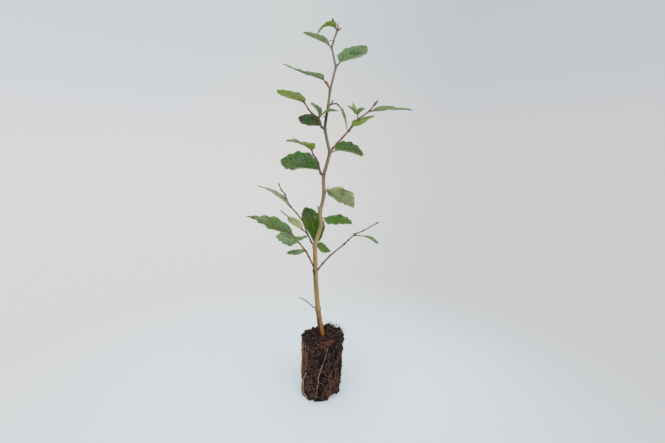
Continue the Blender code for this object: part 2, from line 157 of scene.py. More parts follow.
def colour_ramp(tree, share, tones):
    """A colour that goes through these tones, each a share and a colour."""
    ramp = put(tree, "ShaderNodeValToRGB", {"Fac": share})
    stops = ramp.color_ramp.elements
    while len(stops) < len(tones):
        stops.new(0.5)
    for stop, (place, colour) in zip(stops, tones):
        stop.position = place
        stop.color = rgb(colour)
    return ramp.outputs["Color"]


# Far colours go by the way across as seen from here: 0 is at 30 degrees on the left, 1 at 30 on the right
FLOOR_NEAR = (0.712, 0.752, 0.772)
FLOOR_FAR = ((0.10, (0.702, 0.700, 0.697)), (0.42, (0.702, 0.695, 0.677)), (0.80, (0.619, 0.619, 0.619)))
FLOOR_FADE = (0.05, 0.50)
# Painted light: the share of the floor's colour that it gives off as a glow
FLOOR_GLOW = 0.50
GLOW_STRENGTH = 0.95
FLOOR_SIZE = 30.0
SEEN_FROM = (0.015, -0.395, 0.0)


def floor_material():
    finish = bpy.data.materials.new("white_board")
    finish.use_nodes = True
    tree = finish.node_tree
    shader = tree.nodes["Principled BSDF"]
    place = put(tree, "ShaderNodeTexCoord").outputs["Object"]
    away = put(tree, "ShaderNodeVectorMath", {"Vector": place}, operation="SUBTRACT")
    away.inputs[1].default_value = SEEN_FROM
    way = put(tree, "ShaderNodeVectorMath", {"Vector": away.outputs[0]}, operation="NORMALIZE")
    across = Term(tree, put(tree, "ShaderNodeSeparateXYZ", {"Vector": way.outputs[0]}).outputs["X"])
    reach = Term(tree, put(tree, "ShaderNodeVectorMath", {"Vector": place}, operation="LENGTH").outputs["Value"])
    colour = blend(tree, reach.ramp(*FLOOR_FADE), rgb(FLOOR_NEAR), colour_ramp(tree, across + 0.5, FLOOR_FAR))
    dimmed = put(tree, "ShaderNodeVectorMath", {"Vector": colour}, operation="SCALE")
    dimmed.inputs["Scale"].default_value = 1.0 - FLOOR_GLOW
    feed(tree, shader.inputs["Base Color"], Term(tree, dimmed.outputs[0]))
    feed(tree, shader.inputs["Emission Color"], colour)
    shader.inputs["Emission Strength"].default_value = FLOOR_GLOW * GLOW_STRENGTH
    shader.inputs["Roughness"].default_value = 0.85
    shader.inputs["Specular IOR Level"].default_value = 0.1
    return finish


bpy.ops.mesh.primitive_plane_add(size=FLOOR_SIZE, location=(0.0, 0.0, 0.0))
floor = bpy.context.object
floor.name = "floor"
floor.data.materials.append(floor_material())

# Light: an even white room, a little dimmer and bluer high up, and one very soft lamp high up in front of
# the plant.
ROOM = ((0.10, (0.674, 0.680, 0.690)), (0.42, (0.685, 0.675, 0.658)), (0.80, (0.597, 0.603, 0.612)))
ROOM_HIGH = (0.903, 0.942, 0.975)
HIGH_FADE = (0.0, 0.43)
LAMP_STRENGTH = 1.40
LAMP_SPREAD = 70.0
LAMP_FROM = Vector((0.05, -0.90, 1.20))
world = bpy.data.worlds.new("white_room")
world.use_nodes = True
room = world.node_tree
room_way = put(room, "ShaderNodeSeparateXYZ", {"Vector": put(room, "ShaderNodeTexCoord").outputs["Generated"]})
room_tone = colour_ramp(room, Term(room, room_way.outputs["X"]) + 0.5, ROOM)
room_shade = blend(room, Term(room, room_way.outputs["Z"]).ramp(*HIGH_FADE), rgb((1.0, 1.0, 1.0)), rgb(ROOM_HIGH))
room_colour = put(room, "ShaderNodeVectorMath", {"Vector": room_tone}, operation="MULTIPLY")
feed(room, room_colour.inputs[1], room_shade)
feed(room, room.nodes["Background"].inputs["Color"], room_colour.outputs[0])
scene.world = world
lamp_data = bpy.data.lights.new("soft_lamp", "SUN")
lamp_data.energy = LAMP_STRENGTH
lamp_data.angle = math.radians(LAMP_SPREAD)
lamp = bpy.data.objects.new("soft_lamp", lamp_data)
lamp.rotation_euler = LAMP_FROM.to_track_quat("Z", "Y").to_euler()
scene.collection.objects.link(lamp)


# Root plug: moist peat in the shape of the tray cell that it was raised in, held together by its
# roots. It stands on its own flat underside and leans a little. The top is loose and crumbly.
def new_tree(name, kind, inputs, outputs):
    """A node group with named sockets: the tree, its inputs by name, and its output node."""
    tree = bpy.data.node_groups.new(name, kind)
    for way, sockets in (("INPUT", inputs), ("OUTPUT", outputs)):
        for label, socket_type in sockets.items():
            tree.interface.new_socket(name=label, in_out=way, socket_type="NodeSocket" + socket_type)
    given = tree.nodes.new("NodeGroupInput").outputs
    return tree, {label: Term(tree, given[label]) for label in inputs}, tree.nodes.new("NodeGroupOutput")


def shaped(tree, settings, mesh=None):
    """The plain mesh that a Geometry Nodes tree makes from a mesh with these settings."""
    holder = bpy.data.objects.new("holder", mesh or bpy.data.meshes.new("holder"))
    scene.collection.objects.link(holder)
    step = holder.modifiers.new("shape", "NODES")
    step.node_group = tree
    for item in tree.interface.items_tree:
        if item.in_out == "INPUT" and item.name in settings:
            step[item.identifier] = settings[item.name]
    made = holder.evaluated_get(bpy.context.evaluated_depsgraph_get())
    made = bpy.data.meshes.new_from_object(made)
    holder.modifiers.remove(step)
    bpy.data.objects.remove(holder)
    return made


def join_meshes(meshes):
    """One bmesh and its materials from several meshes."""
    whole = bmesh.new()
    materials = []
    for mesh in meshes:
        first = len(whole.faces)
        whole.from_mesh(mesh)
        whole.faces.ensure_lookup_table()
        for face in whole.faces[first:]:
            finish = mesh.materials[face.material_index]
            if finish not in materials:
                materials.append(finish)
            face.material_index = materials.index(finish)
    return whole, materials


def finish_piece(name, meshes, nodes=(), sharp=60):
    """Join meshes into one smooth piece on the root body, in place of these CAD nodes."""
    whole, materials = join_meshes(meshes)
    mesh = bpy.data.meshes.new(name)
    whole.to_mesh(mesh)
    whole.free()
    for finish in materials:
        mesh.materials.append(finish)
    mesh.shade_smooth()
    mesh.set_sharp_from_angle(angle=math.radians(sharp))
    piece = bpy.data.objects.new(name, mesh)
    scene.collection.objects.link(piece)
    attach(piece, "root")
    if nodes:
        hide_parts(*nodes)
    return piece


def grain_group():
    """Fine mixed grain: two colours in clumps, with a height for relief."""
    tree, given, out = new_tree(
        "grain", "ShaderNodeTree",
        {"Place": "Vector", "Scale": "Float", "Stretch": "Float", "Dark": "Color", "Light": "Color"},
        {"Color": "Color", "Height": "Float"},
    )
    stretched = put(tree, "ShaderNodeVectorMath", {"Vector": given["Place"]}, operation="MULTIPLY")
    along = put(tree, "ShaderNodeCombineXYZ", {"X": 1.0, "Y": 1.0, "Z": given["Stretch"]})
    feed(tree, stretched.inputs[1], along.outputs[0])
    clumps = put(
        tree, "ShaderNodeTexNoise",
        {"Vector": stretched.outputs[0], "Scale": given["Scale"], "Detail": 6.0, "Roughness": 0.62},
    )
    mask = Term(tree, clumps.outputs["Fac"]).ramp(0.36, 0.66)
    colour = put(tree, "ShaderNodeMix", {"Factor": mask}, data_type="RGBA")
    feed(tree, colour.inputs[6], given["Dark"])
    feed(tree, colour.inputs[7], given["Light"])
    feed(tree, out.inputs["Color"], colour.outputs[2])
    feed(tree, out.inputs["Height"], mask)
    return tree


GRAIN = grain_group()


def new_material(name, roughness, gloss=0.5):
    """A material with its own Principled shader: the material, its tree and its shader."""
    finish = bpy.data.materials.new(name)
    finish.use_nodes = True
    shader = finish.node_tree.nodes["Principled BSDF"]
    shader.inputs["Roughness"].default_value = roughness
    shader.inputs["Specular IOR Level"].default_value = gloss
    return finish, finish.node_tree, shader


def relief(tree, shader, height, distance, strength=1.0):
    """Let a height raise the surface of a material."""
    bump = put(tree, "ShaderNodeBump", {"Height": height, "Distance": distance, "Strength": strength})
    tree.links.new(bump.outputs["Normal"], shader.inputs["Normal"])


PEAT_BLACK = (0.009, 0.005, 0.006)
PEAT_BROWN = (0.116, 0.066, 0.062)
FIBRE_RED = (0.230, 0.088, 0.040)
TOP_DARKENS = (0.0700, 0.0740)


def peat_material():
    """Black peat with brown crumbs and, in some places, reddish fibre; painted shade darkens its pits, and the top
    is a little darker.
    """
    finish, tree, shader = new_material("peat", 0.92, 0.12)
    place = put(tree, "ShaderNodeTexCoord").outputs["Object"]
    grain = put(tree, "ShaderNodeGroup", {}, node_tree=GRAIN)
    for name, item in (("Place", place), ("Scale", 620.0), ("Stretch", 0.7),
                       ("Dark", rgb(PEAT_BLACK)), ("Light", rgb(PEAT_BROWN))):
        feed(tree, grain.inputs[name], item)
    strands = put(tree, "ShaderNodeGroup", {}, node_tree=GRAIN)
    for name, item in (("Place", place), ("Scale", 420.0), ("Stretch", 0.18),
                       ("Dark", rgb((0.0, 0.0, 0.0))), ("Light", rgb((1.0, 1.0, 1.0)))):
        feed(tree, strands.inputs[name], item)
    red = Term(tree, put(tree, "ShaderNodeAttribute", attribute_name="red").outputs["Fac"])
    share = Term(tree, strands.outputs["Height"]) * (red + 0.06) + red * 0.35
    colour = blend(tree, share.at_most(1.0), grain.outputs["Color"], rgb(FIBRE_RED))
    proud = put(tree, "ShaderNodeAttribute", attribute_name="proud")
    up = Term(tree, put(tree, "ShaderNodeSeparateXYZ", {"Vector": place}).outputs["Z"])
    # Painted shade: the deeper a point lies among the grains and clods, the nearer it is to black; the top is up
    # to 15 % darker besides.
    lit = Term(tree, proud.outputs["Fac"]).ramp(-0.0010, 0.0008) * (1.0 - up.ramp(*TOP_DARKENS) * 0.15)
    feed(tree, shader.inputs["Base Color"], blend(tree, lit, rgb(PEAT_BLACK), colour))
    relief(tree, shader, grain.outputs["Height"], 0.0006)
    return finish


PEAT = peat_material()
PLUG_HEIGHT = 0.0745
PLUG_TOP_DIAMETER = 0.0500
PLUG_FOOT_DIAMETER = 0.0470
PLUG_TOP_SHIFT = 0.0032
PLUG_LUMPS = 0.0011
LUMPS_ROUND = 2.2
LUMPS_UP = 6.0
FLANK_SEED = Vector((7.1, 3.3, 0.0))
PLUG_SIDES = 210
FLANK_ROWS = 96
EDGE_ROWS = 5
CAP_ROWS = 26
FOOT_EDGE = 0.0022
TOP_EDGE = 0.0024
GRAINS = ((370.0, 0.0014), (800.0, 0.0007))
CLODS = 150.0
CLOD_HEIGHT = 0.0015

# Heaps and hollows of the plug's top: place across, place back, height, reach
HEAPS = (
    (-0.012, 0.017, 0.0008, 0.006),
    (-0.002, 0.024, -0.0046, 0.006),
    (0.009, 0.018, 0.0038, 0.007),
    (0.024, 0.010, 0.0010, 0.004),
    (0.021, -0.002, 0.0012, 0.005),
    (-0.0225, 0.000, -0.0030, 0.006),
    (-0.001, 0.003, -0.0020, 0.005),
    (0.006, -0.012, -0.0028, 0.005),
    (0.003, -0.022, 0.0026, 0.0045),
    (0.011, -0.020, 0.0026, 0.0045),
    (-0.008, 0.021, -0.0022, 0.003),
    (-0.0095, 0.0165, -0.0024, 0.0035),
)
# Swellings of the flank: angle round the plug, height in millimetres, reach of each, amount in metres
SWELLINGS = ((-114, 2, 24, 12, 0.0012), (-72, 4, 14, 9, -0.0012), (172, 10, 20, 9, -0.0008))
# The foot's front corner on the right has broken off: angle, reach round, reach inwards, height
BROKEN_CORNER = (-44, 22, 0.0120, 0.0058)
BROKEN_UP_TO = 0.0240
# Reddish fibre and bark: angle round the plug, height in millimetres, reach of each, strength
RED_ZONES = (
    (-150, 46, 24, 26, 0.30),
    (-72, 75, 20, 4.0, 0.80),
    (-95, 71, 26, 3.0, 0.50),
    (-72, 12, 9, 5.0, 0.80),
    (-56, 9, 16, 5.0, 0.80),
    (-52, 24, 14, 10.0, 0.30),
    (-20, 73, 12, 5.0, 0.70),
    (-128, 72, 12, 3.0, 0.25),
)


def near_place(turn, z, zone_turn, zone_z, reach_turn, reach_z):
    """1 in the middle of a zone of the flank, fading to 0 around it."""
    across = (math.degrees(turn) - zone_turn + 180.0) % 360.0 - 180.0
    return math.exp(-(across / reach_turn) ** 2 - ((z * 1000 - zone_z) / reach_z) ** 2)


FOOT_RED = 1.1
FOOT_REACH = 0.0072


def redness(turn, z):
    spot = Vector((math.cos(turn), math.sin(turn), z * 30.0)) * 5.0
    patchy = 1.0 + 0.9 * noise.noise(spot)
    return max(strength * near_place(turn, z, *zone) for *zone, strength in RED_ZONES) * patchy


def broken_lift(turn, reach):
    """How much the foot's underside is raised where its corner is gone."""
    middle, half, inwards, height = BROKEN_CORNER
    across = abs((math.degrees(turn) - middle + 180.0) % 360.0 - 180.0) / half
    share = min(max((reach - PLUG_FOOT_DIAMETER / 2 + inwards) / inwards, 0.0), 1.0)
    return height * share * max(1.0 - across ** 6, 0.0)


def plug_radius(turn, z):
    """How far the flank is from the plug's axis."""
    share = z / PLUG_HEIGHT
    spoke = Vector((math.cos(turn), math.sin(turn), 0.0))
    lump = noise.noise(spoke * LUMPS_ROUND + FLANK_SEED + Vector((0.0, 0.0, share * LUMPS_UP)))
    swell = sum(amount * near_place(turn, z, *zone) for *zone, amount in SWELLINGS)
    middle = (PLUG_FOOT_DIAMETER + (PLUG_TOP_DIAMETER - PLUG_FOOT_DIAMETER) * share) / 2
    return middle + PLUG_LUMPS * lump + swell


def plug_place(turn, z, inset=0.0):
    """A point on the flank, or this far inside it."""
    reach = plug_radius(turn, z) - inset
    return Vector((PLUG_TOP_SHIFT * z / PLUG_HEIGHT + reach * math.cos(turn), reach * math.sin(turn), z))


def crumble(place):
    """Height of the peat at a place: clods, and rounded grains of two sizes with cracks between."""
    height = CLOD_HEIGHT * noise.fractal(place * CLODS, 1.0, 2.0, 3)
    for scale, size in GRAINS:
        height += size * (0.5 - noise.voronoi(place * scale)[0][0])
    return height


def plug_profile():
    """Rows of the plug's mesh from the middle of its foot to the middle of its top: an inset from
    the flank as a share of the radius, an inset in metres, a height and the outward slope."""
    rows = [(1.0 - i / 8, 0.0, 0.0, -90.0) for i in range(1, 8)]
    for i in range(EDGE_ROWS):
        angle = math.radians(90 * i / EDGE_ROWS)
        rows.append((0.0, FOOT_EDGE * (1 - math.sin(angle)), FOOT_EDGE * (1 - math.cos(angle)),
                     -90 + 90 * i / EDGE_ROWS))
    for i in range(FLANK_ROWS + 1):
        z = FOOT_EDGE + (PLUG_HEIGHT - TOP_EDGE - FOOT_EDGE) * i / FLANK_ROWS
        rows.append((0.0, 0.0, z, 0.0))
    for i in range(1, EDGE_ROWS + 1):
        angle = math.radians(90 * i / EDGE_ROWS)
        rows.append((0.0, TOP_EDGE * (1 - math.cos(angle)), PLUG_HEIGHT - TOP_EDGE * (1 - math.sin(angle)),
                     90 * i / EDGE_ROWS))
    rows += [(i / CAP_ROWS, TOP_EDGE * (1 - i / CAP_ROWS), PLUG_HEIGHT, 90.0) for i in range(1, CAP_ROWS)]
    return rows


def plug_mesh():
    bm = bmesh.new()
    proud = bm.verts.layers.float.new("proud")
    red = bm.verts.layers.float.new("red")
    rings = []
    for share, inset, z, slope in plug_profile():
        ring = []
        for k in range(PLUG_SIDES):
            turn = math.tau * k / PLUG_SIDES
            flank = plug_place(turn, z, inset)
            axis = Vector((PLUG_TOP_SHIFT * z / PLUG_HEIGHT, 0.0, z))
            place = flank.lerp(axis, share)
            level = math.cos(math.radians(slope))
            out = Vector((level * math.cos(turn), level * math.sin(turn), math.sin(math.radians(slope))))
            height = crumble(place)
            place += out * height
            if slope > 0:
                for x, y, rise, reach in HEAPS:
                    gap = math.hypot(place.x - x, place.y - y) / reach
                    place.z += rise * math.exp(-gap * gap) * slope / 90
            place.z = max(place.z, 0.0)
            if place.z < BROKEN_UP_TO:
                lift = broken_lift(turn, math.hypot(place.x, place.y))
                place.z += lift * (1.0 - place.z / BROKEN_UP_TO)
            vert = bm.verts.new(place)
            vert[proud] = height
            gap = math.hypot(place.x - PLUG_TOP_SHIFT, place.y) / FOOT_REACH
            by_stem = FOOT_RED * math.exp(-gap * gap) if slope > 0 else 0.0
            vert[red] = max(redness(turn, place.z) * (1.0 - share) ** 0.5, by_stem)
            ring.append(vert)
        rings.append(ring)
    for low, high in zip(rings, rings[1:]):
        for k in range(PLUG_SIDES):
            n = (k + 1) % PLUG_SIDES
            bm.faces.new((low[k], low[n], high[n], high[k]))
    foot = bm.verts.new((0.0, 0.0, 0.0))
    top = bm.verts.new(sum((v.co for v in rings[-1]), Vector()) / PLUG_SIDES)
    for k in range(PLUG_SIDES):
        n = (k + 1) % PLUG_SIDES
        bm.faces.new((rings[0][n], rings[0][k], foot))
        bm.faces.new((rings[-1][k], rings[-1][n], top))
    mesh = bpy.data.meshes.new("plug")
    bm.to_mesh(mesh)
    bm.free()
    mesh.materials.append(PEAT)
    return mesh


plug = plug_mesh()
finish_piece("plug", [plug], ["root_plug"], sharp=180)


# Crumbs: loose bits of peat, bark and grit on the plug's skin, held by the fine roots, and larger clods
# on its top. Each is a small stone-like lump pressed half into the peat.
def scatter_tree():
    """Lumps of random size, turned at random, scattered over a surface and pressed into it."""
    tree, given, out = new_tree(
        "scatter_crumbs", "GeometryNodeTree",
        {"Surface": "Geometry", "Density": "Float", "Smallest": "Float", "Largest": "Float",
         "Flatness": "Float", "Roughness": "Float", "Detail": "Int", "Seed": "Int", "Material": "Material"},
        {"Geometry": "Geometry"},
    )
    spots = put(
        tree, "GeometryNodeDistributePointsOnFaces",
        {"Mesh": given["Surface"], "Density": given["Density"], "Seed": given["Seed"]},
    )
    crumb = put(tree, "GeometryNodeMeshIcoSphere", {"Radius": 1.0, "Subdivisions": given["Detail"]})
    turn = put(tree, "FunctionNodeRandomValue", {"Seed": given["Seed"]}, data_type="FLOAT_VECTOR")
    for socket, angle in zip([s for s in turn.inputs if s.enabled], (0.0, math.tau)):
        socket.default_value = (angle, angle, angle)
    size = put(
        tree, "FunctionNodeRandomValue",
        {"Min": 0.0, "Max": 1.0, "Seed": given["Seed"] + 3}, data_type="FLOAT",
    )
    chance = Term(tree, next(s for s in size.outputs if s.enabled))
    reach = given["Smallest"] + (given["Largest"] - given["Smallest"]) * chance ** 3.0
    scale = put(tree, "ShaderNodeCombineXYZ", {"X": reach, "Y": reach * 0.75, "Z": reach * given["Flatness"]})
    turned = put(tree, "FunctionNodeEulerToRotation",
                 {"Euler": next(s for s in turn.outputs if s.enabled)})
    lumps = put(
        tree, "GeometryNodeInstanceOnPoints",
        {"Points": spots.outputs["Points"], "Instance": crumb.outputs["Mesh"],
         "Rotation": turned.outputs["Rotation"], "Scale": scale.outputs[0]},
    )
    solid = put(tree, "GeometryNodeRealizeInstances", {"Geometry": lumps.outputs["Instances"]})
    rough = put(tree, "ShaderNodeTexNoise", {"Scale": 1100.0, "Detail": 2.0})
    shift = put(tree, "ShaderNodeVectorMath", {}, operation="SUBTRACT")
    feed(tree, shift.inputs[0], rough.outputs["Color"])
    shift.inputs[1].default_value = (0.5, 0.5, 0.5)
    spread = put(tree, "ShaderNodeVectorMath", {}, operation="SCALE")
    feed(tree, spread.inputs[0], shift.outputs[0])
    feed(tree, spread.inputs["Scale"], given["Roughness"])
    moved = put(tree, "GeometryNodeSetPosition",
                {"Geometry": solid.outputs["Geometry"], "Offset": spread.outputs[0]})
    place = put(tree, "ShaderNodeSeparateXYZ", {"Vector": put(tree, "GeometryNodeInputPosition").outputs[0]})
    above = put(tree, "ShaderNodeCombineXYZ",
                {"X": place.outputs["X"], "Y": place.outputs["Y"],
                 "Z": Term(tree, place.outputs["Z"]).at_least(0.0)})
    standing = put(tree, "GeometryNodeSetPosition",
                   {"Geometry": moved.outputs["Geometry"], "Position": above.outputs[0]})
    done = put(tree, "GeometryNodeSetMaterial",
               {"Geometry": standing.outputs["Geometry"], "Material": given["Material"]})
    feed(tree, out.inputs["Geometry"], done.outputs["Geometry"])
    return tree


def grain_material(name, dark, light, scale, roughness, gloss=0.3, stretch=1.0, height=0.0003, ring=None):
    """A finish of two colours in clumps with a little relief, and a third colour at knots, if given."""
    finish, tree, shader = new_material(name, roughness, gloss)
    place = put(tree, "ShaderNodeTexCoord").outputs["Object"]
    grain = put(tree, "ShaderNodeGroup", {}, node_tree=GRAIN)
    for label, item in (("Place", place), ("Scale", scale), ("Stretch", stretch),
                        ("Dark", rgb(dark)), ("Light", rgb(light))):
        feed(tree, grain.inputs[label], item)
    colour = grain.outputs["Color"]
    if ring:
        near = put(tree, "ShaderNodeAttribute", attribute_name="knot").outputs["Fac"]
        colour = blend(tree, near, colour, rgb(ring))
    feed(tree, shader.inputs["Base Color"], colour)
    relief(tree, shader, grain.outputs["Height"], height)
    return finish


SCATTER = scatter_tree()
CRUMB_BLACK = grain_material("crumb_black", (0.005, 0.003, 0.003), (0.040, 0.026, 0.024), 900.0, 0.85, 0.2)
CRUMB_BROWN = grain_material("crumb_brown", (0.048, 0.022, 0.020), (0.240, 0.130, 0.105), 900.0, 0.85, 0.15)
CRUMB_RED = grain_material("crumb_red", (0.080, 0.026, 0.014), (0.300, 0.120, 0.065), 900.0, 0.8, 0.15)
SPECKS = grain_material("pale_specks", (0.30, 0.21, 0.18), (0.54, 0.42, 0.36), 900.0, 0.7)
PEAT_TOP_FROM = 0.0700
CRUMB_KINDS = (
    {"Density": 70000.0, "Smallest": 0.0003, "Largest": 0.0014, "Flatness": 0.7, "Roughness": 0.0008,
     "Detail": 1, "Seed": 3, "Material": CRUMB_BLACK},
    {"Density": 44000.0, "Smallest": 0.0003, "Largest": 0.0010, "Flatness": 0.6, "Roughness": 0.0006,
     "Detail": 1, "Seed": 11, "Material": CRUMB_BROWN},
    {"Density": 7000.0, "Smallest": 0.0003, "Largest": 0.0010, "Flatness": 0.5, "Roughness": 0.0006,
     "Detail": 1, "Seed": 31, "Material": CRUMB_RED},
    {"Density": 12000.0, "Smallest": 0.0003, "Largest": 0.0008, "Flatness": 0.6, "Roughness": 0.0004,
     "Detail": 1, "Seed": 23, "Material": SPECKS},
)
CLOD_KINDS = (
    {"Density": 52000.0, "Smallest": 0.0009, "Largest": 0.0028, "Flatness": 0.8, "Roughness": 0.0016,
     "Detail": 3, "Seed": 47, "Material": CRUMB_BLACK},
    {"Density": 24000.0, "Smallest": 0.0007, "Largest": 0.0018, "Flatness": 0.7, "Roughness": 0.0012,
     "Detail": 3, "Seed": 43, "Material": CRUMB_BROWN},
    {"Density": 16000.0, "Smallest": 0.0006, "Largest": 0.0015, "Flatness": 0.7, "Roughness": 0.0010,
     "Detail": 2, "Seed": 59, "Material": CRUMB_RED},
)


def upper_part(mesh, above):
    """A copy of what a mesh has above this height."""
    bm = bmesh.new()
    bm.from_mesh(mesh)
    bmesh.ops.delete(bm, geom=[v for v in bm.verts if v.co.z < above], context="VERTS")
    part = bpy.data.meshes.new("upper_part")
    bm.to_mesh(part)
    bm.free()
    return part


crumbs = [shaped(SCATTER, kind, plug.copy()) for kind in CRUMB_KINDS]
crumbs += [shaped(SCATTER, kind, upper_part(plug, PEAT_TOP_FROM)) for kind in CLOD_KINDS]
finish_piece("plug_crumbs", crumbs, sharp=180)


# Roots: pale woody roots that run down the plug's flank, red-brown fibrous ones that felt it together,
# and a few hairs that stand free at the rim. They grew along the wall of the tray's cell.
def sweep_tree():
    """A round skin along every line of a mesh, as thick as its girth, with a grained relief."""
    tree, given, out = new_tree(
        "sweep_skin", "GeometryNodeTree",
        {"Lines": "Geometry", "Sides": "Int", "Step": "Float", "Relief": "Float", "Grain": "Float",
         "Material": "Material"},
        {"Geometry": "Geometry"},
    )
    girth = put(tree, "GeometryNodeInputNamedAttribute", {"Name": "girth"}, data_type="FLOAT")
    rough = put(tree, "GeometryNodeMeshToCurve", {"Mesh": given["Lines"]})
    line = put(tree, "GeometryNodeResampleCurve",
               {"Curve": rough.outputs["Curve"], "Length": given["Step"]}, mode="LENGTH")
    ring = put(tree, "GeometryNodeCurvePrimitiveCircle", {"Resolution": given["Sides"], "Radius": 1.0})
    skin = put(
        tree, "GeometryNodeCurveToMesh",
        {"Curve": line.outputs["Curve"], "Profile Curve": ring.outputs["Curve"],
         "Scale": girth.outputs["Attribute"], "Fill Caps": True},
    )
    place = put(tree, "GeometryNodeInputPosition")
    squeezed = put(tree, "ShaderNodeVectorMath", {}, operation="MULTIPLY")
    feed(tree, squeezed.inputs[0], place.outputs["Position"])
    squeezed.inputs[1].default_value = (1.0, 1.0, 0.35)
    grain = put(tree, "ShaderNodeTexNoise",
                {"Vector": squeezed.outputs[0], "Scale": given["Grain"], "Detail": 3.0})
    height = (Term(tree, grain.outputs["Fac"]) - 0.5) * given["Relief"] * Term(tree, girth.outputs["Attribute"])
    push = put(tree, "ShaderNodeVectorMath", {}, operation="SCALE")
    feed(tree, push.inputs[0], put(tree, "GeometryNodeInputNormal").outputs["Normal"])
    feed(tree, push.inputs["Scale"], height)
    moved = put(tree, "GeometryNodeSetPosition",
                {"Geometry": skin.outputs["Mesh"], "Offset": push.outputs[0]})
    done = put(tree, "GeometryNodeSetMaterial",
               {"Geometry": moved.outputs["Geometry"], "Material": given["Material"]})
    feed(tree, out.inputs["Geometry"], done.outputs["Geometry"])
    return tree


SWEEP = sweep_tree()


def swept(lines, sides, step, material, grain_relief=0.0, grain=900.0):
    """Skins along lines, each a list of (point, radius)."""
    bm = bmesh.new()
    girth = bm.verts.layers.float.new("girth")
    for line in lines:
        last = None
        for point, radius in line:
            vert = bm.verts.new(point)
            vert[girth] = radius
            if last:
                bm.edges.new((last, vert))
            last = vert
    mesh = bpy.data.meshes.new("lines")
    bm.to_mesh(mesh)
    bm.free()
    settings = {"Sides": sides, "Step": step, "Relief": grain_relief, "Grain": grain, "Material": material}
    return shaped(SWEEP, settings, mesh)


def rounded(points, pieces):
    """A smooth line through every point, with this many pieces to each stretch."""
    line = []
    ends = [points[0] * 2 - points[1], *points, points[-1] * 2 - points[-2]]
    for a, b, c, d in zip(ends, ends[1:], ends[2:], ends[3:]):
        for i in range(pieces):
            t = i / pieces
            line.append(0.5 * (2 * b + (c - a) * t + (2 * a - 5 * b + 4 * c - d) * t ** 2
                               + (3 * b - a - 3 * c + d) * t ** 3))
    line.append(points[-1].copy())
    return line


def tapering(points, first, last):
    """Points with a radius each that goes evenly from the first to the last."""
    return [(p, first + (last - first) * i / (len(points) - 1)) for i, p in enumerate(points)]


ROOT_PALE = grain_material("root_pale", (0.44, 0.29, 0.16), (0.80, 0.60, 0.38), 600.0, 0.55)
ROOT_GREY = grain_material("root_grey", (0.190, 0.135, 0.125), (0.420, 0.330, 0.300), 600.0, 0.6)
ROOT_ORANGE = grain_material("root_orange", (0.280, 0.120, 0.045), (0.600, 0.330, 0.140), 600.0, 0.6)
ROOT_TAN = grain_material("root_tan", (0.280, 0.130, 0.075), (0.560, 0.320, 0.200), 600.0, 0.6)
ROOT_BROWN = grain_material("root_brown", (0.095, 0.030, 0.017), (0.330, 0.130, 0.070), 700.0, 0.65)
ROOT_HAIR = grain_material("root_hair", (0.040, 0.021, 0.018), (0.150, 0.088, 0.072), 700.0, 0.65)
ROOT_PROUD = 0.0009

# Thicker roots: finish, radius at each end in millimetres, then (angle round the plug, height in
# millimetres). The long one in front is grey at its top, pale in its middle and orange below.
PALE_ROOTS = (
    (ROOT_GREY, 0.20, 0.28, ((-76, 70), (-77, 65), (-79, 60), (-84, 53), (-88, 48))),
    (ROOT_PALE, 0.32, 0.36, ((-88, 49), (-91, 43), (-95, 37), (-97, 31), (-97, 28))),
    (ROOT_ORANGE, 0.46, 0.50, ((-97, 29), (-97, 25), (-98, 20))),
    (ROOT_GREY, 0.26, 0.16, ((-98, 21), (-99, 15), (-101, 10), (-102, 5))),
    (ROOT_ORANGE, 0.26, 0.14, ((-97, 28), (-93, 26), (-86, 25), (-80, 21))),
    (ROOT_PALE, 0.34, 0.44, ((-135, 35), (-139, 30), (-145, 26), (-151, 21), (-152, 16))),
    (ROOT_PALE, 0.46, 0.52, ((-152, 17), (-151, 12), (-147, 7), (-138, 4), (-128, 2))),
    (ROOT_BROWN, 0.30, 0.24, ((-58, 40), (-62, 36), (-68, 31), (-66, 26))),
    (ROOT_TAN, 0.18, 0.12, ((-62, 38), (-59, 33), (-64, 26), (-61, 20), (-63, 14))),
    (ROOT_TAN, 0.14, 0.10, ((-50, 44), (-47, 34), (-51, 25), (-49, 17))),
    (ROOT_BROWN, 0.22, 0.14, ((-56, 66), (-58, 56), (-55, 46), (-57, 36))),
    (ROOT_BROWN, 0.22, 0.14, ((-40, 60), (-43, 48), (-39, 36), (-42, 24))),
    (ROOT_TAN, 0.24, 0.18, ((-150, 72), (-152, 62), (-148, 52), (-151, 42), (-147, 32))),
    (ROOT_TAN, 0.22, 0.18, ((-139, 70), (-141, 60), (-138, 50), (-142, 40))),
    (ROOT_ORANGE, 0.22, 0.16, ((-155, 70), (-157, 58), (-154, 47), (-158, 36), (-156, 26))),
    (ROOT_ORANGE, 0.22, 0.16, ((-133, 62), (-136, 54), (-133, 45), (-137, 37))),
    (ROOT_ORANGE, 0.24, 0.16, ((-161, 66), (-158, 54), (-162, 44), (-158, 34))),
    (ROOT_PALE, 0.45, 0.25, ((20, 70), (28, 58), (33, 44), (30, 30), (38, 16), (44, 4))),
    (ROOT_PALE, 0.40, 0.30, ((110, 64), (102, 50), (108, 36), (99, 20), (104, 6))),
    (ROOT_ORANGE, 0.35, 0.25, ((175, 52), (168, 40), (176, 26), (170, 12))),
    (ROOT_GREY, 0.30, 0.20, ((-20, 58), (-12, 46), (-16, 34), (-8, 22))),
)
FINE_ROOTS = 360
FINE_ROOT_STEP = 1.3
# A chip of bark in the front of the rim: fibres side by side, from this angle on the left to an angle on
# the right that is larger for the upper ones; lowest and highest in millimetres
CHIP_LEFT = -93.0
CHIP_RIGHT = (-74.0, -50.0)
CHIP_HEIGHTS = (71.8, 77.4)
CHIP_FIBRES = 8
CHIP_FIBRE = 0.00046
CHIP_BARK = grain_material("bark_chip", (0.065, 0.021, 0.013), (0.285, 0.112, 0.056), 800.0, 0.8, 0.15)


